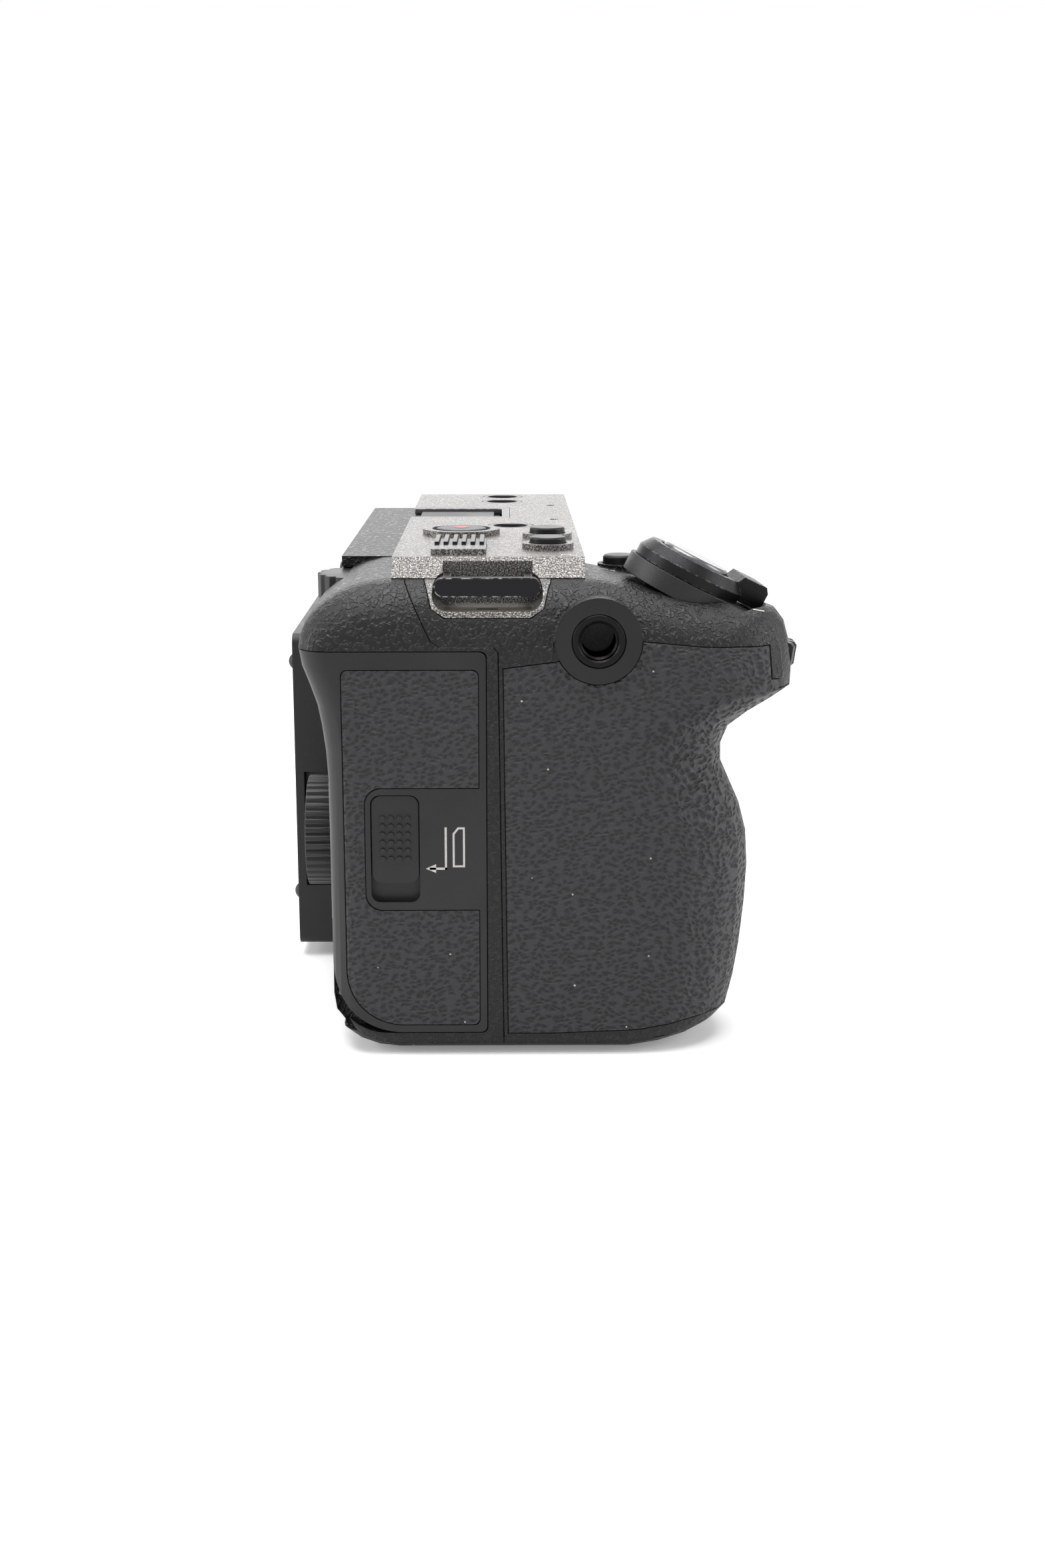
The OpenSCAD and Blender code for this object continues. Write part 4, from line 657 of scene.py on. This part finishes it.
dressed("grip_leather", leather, flat=0.3, sharp=40)

# Accessory thread on the grip: a steel bush, machined and blackened, pressed into a round boss
# that a thin turned ring of black acetal faces.

# Black oxide on steel: very dark, with a tight bright highlight.
black_bush = metal("black_oxide_steel", "232222", 0.34, 0.4, 0.006)
# Turned acetal: deep black and waxy, with a soft highlight.
boss_black = moulded("turned_black_acetal", "0D0D0E", 0.42, 0.3, 0.01, gloss=0.35)
boss_y, boss_z, bush_x, boss_x = -25.6, 66.3, -78.3, -78.2
boss_inner, boss_outer, boss_thick = 4.2, 6.55, 0.05
threaded("grip_side_bush", "side_thread_right", (bush_x, boss_y, boss_z), (-1, 0, 0),
         accessory_outer, accessory_mouth, side_thread_long, look=black_bush)
ring_of("grip_boss_face", boss_inner, boss_outer,
        laid((boss_x, boss_y, boss_z), (0, -1, 0), (0, 0, 1)), "body", boss_black,
        thick=boss_thick)

# Card door: a satin black moulding with two patches of the grip's rubber, a sliding latch with
# rows of small bumps, and a printed arrow and card sign. Its steel pin and the two card slots
# are behind it.
dressed("card_door", satin_plastic, flat=0.3, sharp=40)
dressed("card_door_leather", leather, flat=0.3, sharp=40)
dressed("card_door_latch", satin_plastic, flat=0.5)
dressed("card_door_pin", screw_steel, edge=0.05)
dressed("card_slots", flocked_black)
door_plane = -78.0
down_door = laid((door_plane, 0, 0), (0, -1, 0), (0, 0, 1))
sign_line = 0.3
for name, corners, line in (
        ("door_arrow_bar", ((1.97, 30.5), (2.3, 30.5), (2.3, 37.3), (1.97, 37.3)), 0),
        ("door_arrow_foot", ((-0.4, 30.5), (2.3, 30.5), (2.3, 30.85), (-0.4, 30.85)), 0),
        ("door_arrow_tip", ((-1.0, 30.68), (0.6, 30.0), (0.6, 31.4)), 0),
        ("door_card_sign", ((3.2, 30.9), (5.1, 30.9), (5.1, 37.3), (4.0, 37.3), (3.2, 36.3)),
         sign_line)):
    printed(name, corners, down_door, "card_door", ring=line)

# A thin rubber lip closes the hinge relief above the latch, one long edge at the rear cover and the
# other at the door.
lip_low, lip_high, lip_door, lip_cover, lip_thick, lip_sunk = 46.3, 64.2, -74.9, -67.0, 0.35, 0.45
lip_rows, lip_columns = 10, 9
well_behind = 60


def skin_behind(node, x, z):
    """How far back a node's outer face lies at x, z, in mm."""
    form = bmesh.new()
    form.from_mesh(frame["nodes"][node].data)
    start = Vector((x, well_behind, z)) * mm
    struck = BVHTree.FromBMesh(form).ray_cast(start, Vector((0, -1, 0)))
    form.free()
    return struck[0].y / mm


form = bmesh.new()
rows = []
for row in range(lip_rows):
    z = lip_low + (lip_high - lip_low) * row / (lip_rows - 1)
    at_door = skin_behind("card_door", lip_door, z)
    at_cover = skin_behind("rear_cover", lip_cover, z)
    rows.append([form.verts.new(Vector((
        lip_door + (lip_cover - lip_door) * share,
        at_door + (at_cover - at_door) * share - lip_sunk, z)) * mm)
        for share in (column / (lip_columns - 1) for column in range(lip_columns))])
for lower, upper in zip(rows, rows[1:]):
    for corners in zip(lower, lower[1:], upper[1:], upper):
        form.faces.new(corners)
bmesh.ops.recalc_face_normals(form, faces=form.faces)
bmesh.ops.solidify(form, geom=form.faces[:], thickness=lip_thick * mm)
lip = finished("card_door_lip", form, None, door_rubber)
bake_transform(lip)

# Battery bay: a flat moulded door in the base swings on a steel pin and is held by a sliding
# latch. The battery stands in the grip above it.
dressed("battery_door", satin_plastic, edge=0.2)
dressed("battery_door_latch", satin_plastic, edge=0.15)
dressed("battery_door_pin", bush_steel, edge=0.05)
# Moulded case: plain dark grey, matt, paler than the camera.
battery_case = moulded("dark_grey_polycarbonate", "3B3B3D", 0.55, 0.5, 0.03)
dressed("battery_pack", battery_case, edge=0.4)

# Grip head: a fixed wedge in fine black paint carries the power lever ring and the shutter
# button in it, both turned in aluminium and anodised black. Below it runs the front dial, a
# moulded plastic wheel with chunky teeth on a steel pin.

# Sprayed paint: even satin black, with a dust of fine grain.
fine_paint = moulded("fine_black_paint", "161617", 0.42, 0.25, 0.05, gloss=0.4, eased=0.2)
dressed("turret", fine_paint, edge=0.1)
# Bead blasted, then anodised: soft dark sheen, rubbed paler in spots along the edges.
lever_metal = metal("blasted_black_anodised", "262627", 0.4, 0.3, 0.012, eased=0.15,
                    wear_and_highlight="6E6660")
# Polished, then anodised: a smoky mirror that shows the lights above it.
button_metal = metal("polished_black_anodised", "6A696B", 0.24, 0.5, 0.003, eased=0.1)
dressed("power_lever", lever_metal, edge=0.15)
dressed("shutter_button", button_metal, edge=0.12)
dial_teeth, tooth_out, tooth_in, dial_high, dial_bore = 22, 9.5, 8.3, 4.0, 1.35
tooth_foot, tooth_tip, tip_bevel, same_place = 0.34, 0.2, 0.55, 0.05
dial_place, dial_tilt = (-62, -48, 61.2), 8
form = bmesh.new()
outline = []
for tooth in range(dial_teeth):
    for share, radius in ((-tooth_foot, tooth_in), (-tooth_tip, tooth_out),
                          (tooth_tip, tooth_out), (tooth_foot, tooth_in)):
        turn = 2 * pi * (tooth + share) / dial_teeth
        outline.append(form.verts.new((radius * cos(turn) * mm, radius * sin(turn) * mm, 0)))
for pair in zip(outline, outline[1:] + outline[:1]):
    form.edges.new(pair)
bmesh.ops.create_circle(form, segments=4 * dial_teeth, radius=dial_bore * mm)
bmesh.ops.bridge_loops(form, edges=form.edges[:])
pushed(form, form.faces[:], (0, 0, dial_high))
bmesh.ops.recalc_face_normals(form, faces=form.faces)
tips = [e for e in form.edges
        if all(v.co.xy.length > (tooth_out - same_place) * mm for v in e.verts)
        and abs(e.verts[0].co.z - e.verts[1].co.z) < same_place * mm]
bmesh.ops.bevel(form, geom=tips, offset=tip_bevel * mm, affect="EDGES", segments=1, profile=0.5,
                material=-1, clamp_overlap=True)
dial_seat = Matrix.Translation(Vector(dial_place) * mm)
dial_seat = dial_seat @ Matrix.Rotation(radians(dial_tilt), 4, "X")
bmesh.ops.transform(form, verts=form.verts, matrix=dial_seat)
piece = finished("front_dial_finish", form, "front_dial", knurled_black)
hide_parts("front_dial")
dressed("front_dial_pin", bush_steel, edge=0.05)
dressed("grip_button", gloss_button, edge=0.12)

# Top deck: a cast plate in crystal paint, a rough grey enamel with bright metal flecks that
# turns pale under the top light. Its three accessory threads are blackened steel bushes.
fleck_wide, fleck_high, deck_cloud, deck_edge = 0.22, 0.035, 12, 0.2
crystal_paint, tree = surface("grey_crystal_enamel")
# Textured enamel: dark grey ground, pale flecks two tenths of a millimetre wide, low gloss.
place = add(tree, "TexCoord").outputs["Object"]
flecks = add(tree, "TexNoise", {"Vector": place, "Scale": 1 / (fleck_wide * mm), "Detail": 2.0,
                                "Roughness": 0.7})
coarse = add(tree, "TexNoise", {"Vector": place, "Scale": 1 / (deck_cloud * mm), "Detail": 3.0})
mix = add(tree, "MapRange", {0: flecks.outputs[0], 1: 0.46, 2: 0.66})
tint = add(tree, "Mix", {0: mix.outputs[0], 6: linear("1C1B1B"), 7: linear("B4AFAA")},
           data_type="RGBA")
bump = add(tree, "Bump", {"Height": flecks.outputs[0], "Distance": fleck_high * mm})
round_off = add(tree, "Bevel", {"Radius": deck_edge * mm}, samples=4)
tree.links.new(round_off.outputs[0], bump.inputs["Normal"])
rub = add(tree, "MapRange", {0: coarse.outputs[0], 3: 0.38, 4: 0.48})
part_metal = add(tree, "MapRange", {0: mix.outputs[0], 3: 0.0, 4: 0.55})
shader = add(tree, "BsdfPrincipled", {"Base Color": tint.outputs[2], "Roughness": rub.outputs[0],
                                      "Metallic": part_metal.outputs[0], "Specular IOR Level": 0.5,
                                      "Normal": bump.outputs[0]})
add(tree, "OutputMaterial", {"Surface": shader.outputs[0]})
dressed("top_deck", crystal_paint)
deck_z, deck_thread_long = 77.8, 7.0
for index, (x, y) in enumerate(((-19, -12.4), (28.7, -10.8), (39.5, -10.9))):
    piece = threaded("deck_bush_%d" % (index + 1), None, (x, y, deck_z), (0, 0, 1),
                     accessory_outer, accessory_mouth, deck_thread_long, look=black_bush)
    if index == 0:
        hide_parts("deck_threads")

# Shoe: rails folded from stainless sheet and blackened, screwed to the deck, under a plastic
# cover that slides off backwards.

# Blackened stainless: mid grey and satin, rubbed bright along its edges.
shoe_steel = metal("blackened_stainless_steel", "5A5A5C", 0.4, 0.3, 0.01, wear_and_highlight="A8A8A6")
dressed("shoe_rails", shoe_steel, edge=0.12)
dressed("shoe_cover", satin_plastic, edge=0.15)

# Deck controls: a silver record button with a red dot, two glossy black buttons in painted
# collars and a ribbed zoom lever. They are pressed or slid from above.

# Blasted and clear anodised: a soft even grey with no clear reflection.
silver_cap = metal("satin_silver_aluminium", "5C5C5F", 0.55, 0.3, 0.006)
dressed("record_button", silver_cap, edge=0.12)
record_x, record_y, dot_r, dot_z, dot_speck = -33.5, -3.9, 1.3, 78.98, 0.5
gap_inner, gap_outer, gap_z = 4.35, 5.0, 78.81
# A flat black ring laid in the gap round the record button: painted shade in the gap.
ring_of("record_gap_painted_shade", gap_inner, gap_outer,
        laid((record_x, record_y, gap_z), (1, 0, 0), (0, 1, 0)), "body", flocked_black)
red_ink, tree = surface("red_pad_print")
# A red dot of pad-print ink, satin.
place = add(tree, "TexCoord").outputs["Object"]
speck = add(tree, "TexNoise", {"Vector": place, "Scale": 1 / (dot_speck * mm), "Detail": 2.0})
tint = add(tree, "Mix", {0: speck.outputs[0], 6: linear("A81E20"), 7: linear("C63230")},
           data_type="RGBA")
rub = add(tree, "MapRange", {0: speck.outputs[0], 3: 0.4, 4: 0.5})
shader = add(tree, "BsdfPrincipled", {"Base Color": tint.outputs[2], "Roughness": rub.outputs[0]})
add(tree, "OutputMaterial", {"Surface": shader.outputs[0]})
printed("record_dot", disc(dot_r), laid((record_x, record_y, dot_z), (1, 0, 0), (0, 1, 0)),
        "record_button", look=red_ink)
for node in ("deck_button_near", "deck_button_far"):
    dressed(node, gloss_button, edge=0.12)
dressed("zoom_lever", satin_button, edge=0.1)

# Printed marks: plain white signs of pad-print ink beside the controls, laid flat on the deck
# and on the grip head.
above_all, print_gap = 100, 0.01


def laid_on(node, x, y, across=(0, -1, 0)):
    """The matrix that lays a flat mark on a node's upper face at x, y in mm."""
    form = bmesh.new()
    form.from_mesh(frame["nodes"][node].data)
    start = Vector((x, y, above_all)) * mm
    struck = BVHTree.FromBMesh(form).ray_cast(start, Vector((0, 0, -1)))
    form.free()
    place, away = struck[0] / mm, struck[1].normalized()
    along = (Vector(across) - Vector(across).dot(away) * away).normalized()
    return laid(place + print_gap * away, along, away.cross(along))


def oblong(half_wide, half_high):
    """The corners of an oblong mark about its middle."""
    return [(-half_wide, -half_high), (half_wide, -half_high), (half_wide, half_high),
            (-half_wide, half_high)]


for name, corners, node, x, y, line in (
        ("zoom_mark", ((-1.3, 0), (0, -0.9), (1.3, 0), (0, 0.9)), "top_deck", -65.0, -11.2, 0.32),
        ("deck_button_mark", oblong(0.8, 0.7), "top_deck", -64.6, -21, sign_line),
        ("head_button_mark_1", oblong(0.4, 0.8), "grip_shell", -55.6, -27.6, 0),
        ("head_button_mark_2", oblong(0.4, 0.8), "grip_shell", -55.6, -28.8, 0),
        ("lever_index_line", oblong(0.9, 0.16), "grip_shell", -70.6, -50.6, 0)):
    printed(name, corners, laid_on(node, x, y), "body", ring=line)

# Strap lugs: bars of black anodised aluminium screwed into the shoulders, each over a small
# chromated steel plate with a slot.

# Anodised and worn: near black, rubbed to bare silver in patches along the edges; the patches are
# also a painted highlight.
lug_metal = metal("black_anodised_aluminium_wear_and_highlight", "29292B", 0.36, 0.3, 0.008, wear_and_highlight="C8C6C0")
for node in ("strap_lug_right", "strap_lug_left"):
    dressed(node, lug_metal, edge=0.25)
# Worn chromate on steel: mottled dull olive brown, without a clear highlight, and darkened overall
# as painted shade under the lug bar.
chromate_with_painted_shade = moulded("worn_chromate_steel_painted_shade", "3C382E", 0.5, 0.5, 0.03, mottle=0.7)
lug_y, plate_z, plate_half, plate_cut, plate_thick = -8.7, 70.62, 7.2, 0.8, 0.06
slot_half, slot_long, slot_thick = 0.5, 1.6, 0.01
for name, low, high in (("strap_plate_right", -76.2, -71.6), ("strap_plate_left", 47.6, 51.2)):
    short = plate_half - plate_cut
    printed(name, [(low, -short), (low + plate_cut, -plate_half), (high - plate_cut, -plate_half),
                   (high, -short), (high, short), (high - plate_cut, plate_half),
                   (low + plate_cut, plate_half), (low, short)],
            laid((0, lug_y, plate_z), (1, 0, 0), (0, 1, 0)), "body", look=chromate_with_painted_shade,
            thick=plate_thick)
    middle = (low + high) / 2
    # The slot is a thin black sheet on the plate: painted shade where the slot's hollow would be.
    printed(name + "_slot", [(middle - slot_half, -slot_long), (middle + slot_half, -slot_long),
                             (middle + slot_half, slot_long), (middle - slot_half, slot_long)],
            laid((0, lug_y, plate_z + plate_thick), (1, 0, 0), (0, 1, 0)), "body",
            look=flocked_black, thick=slot_thick)
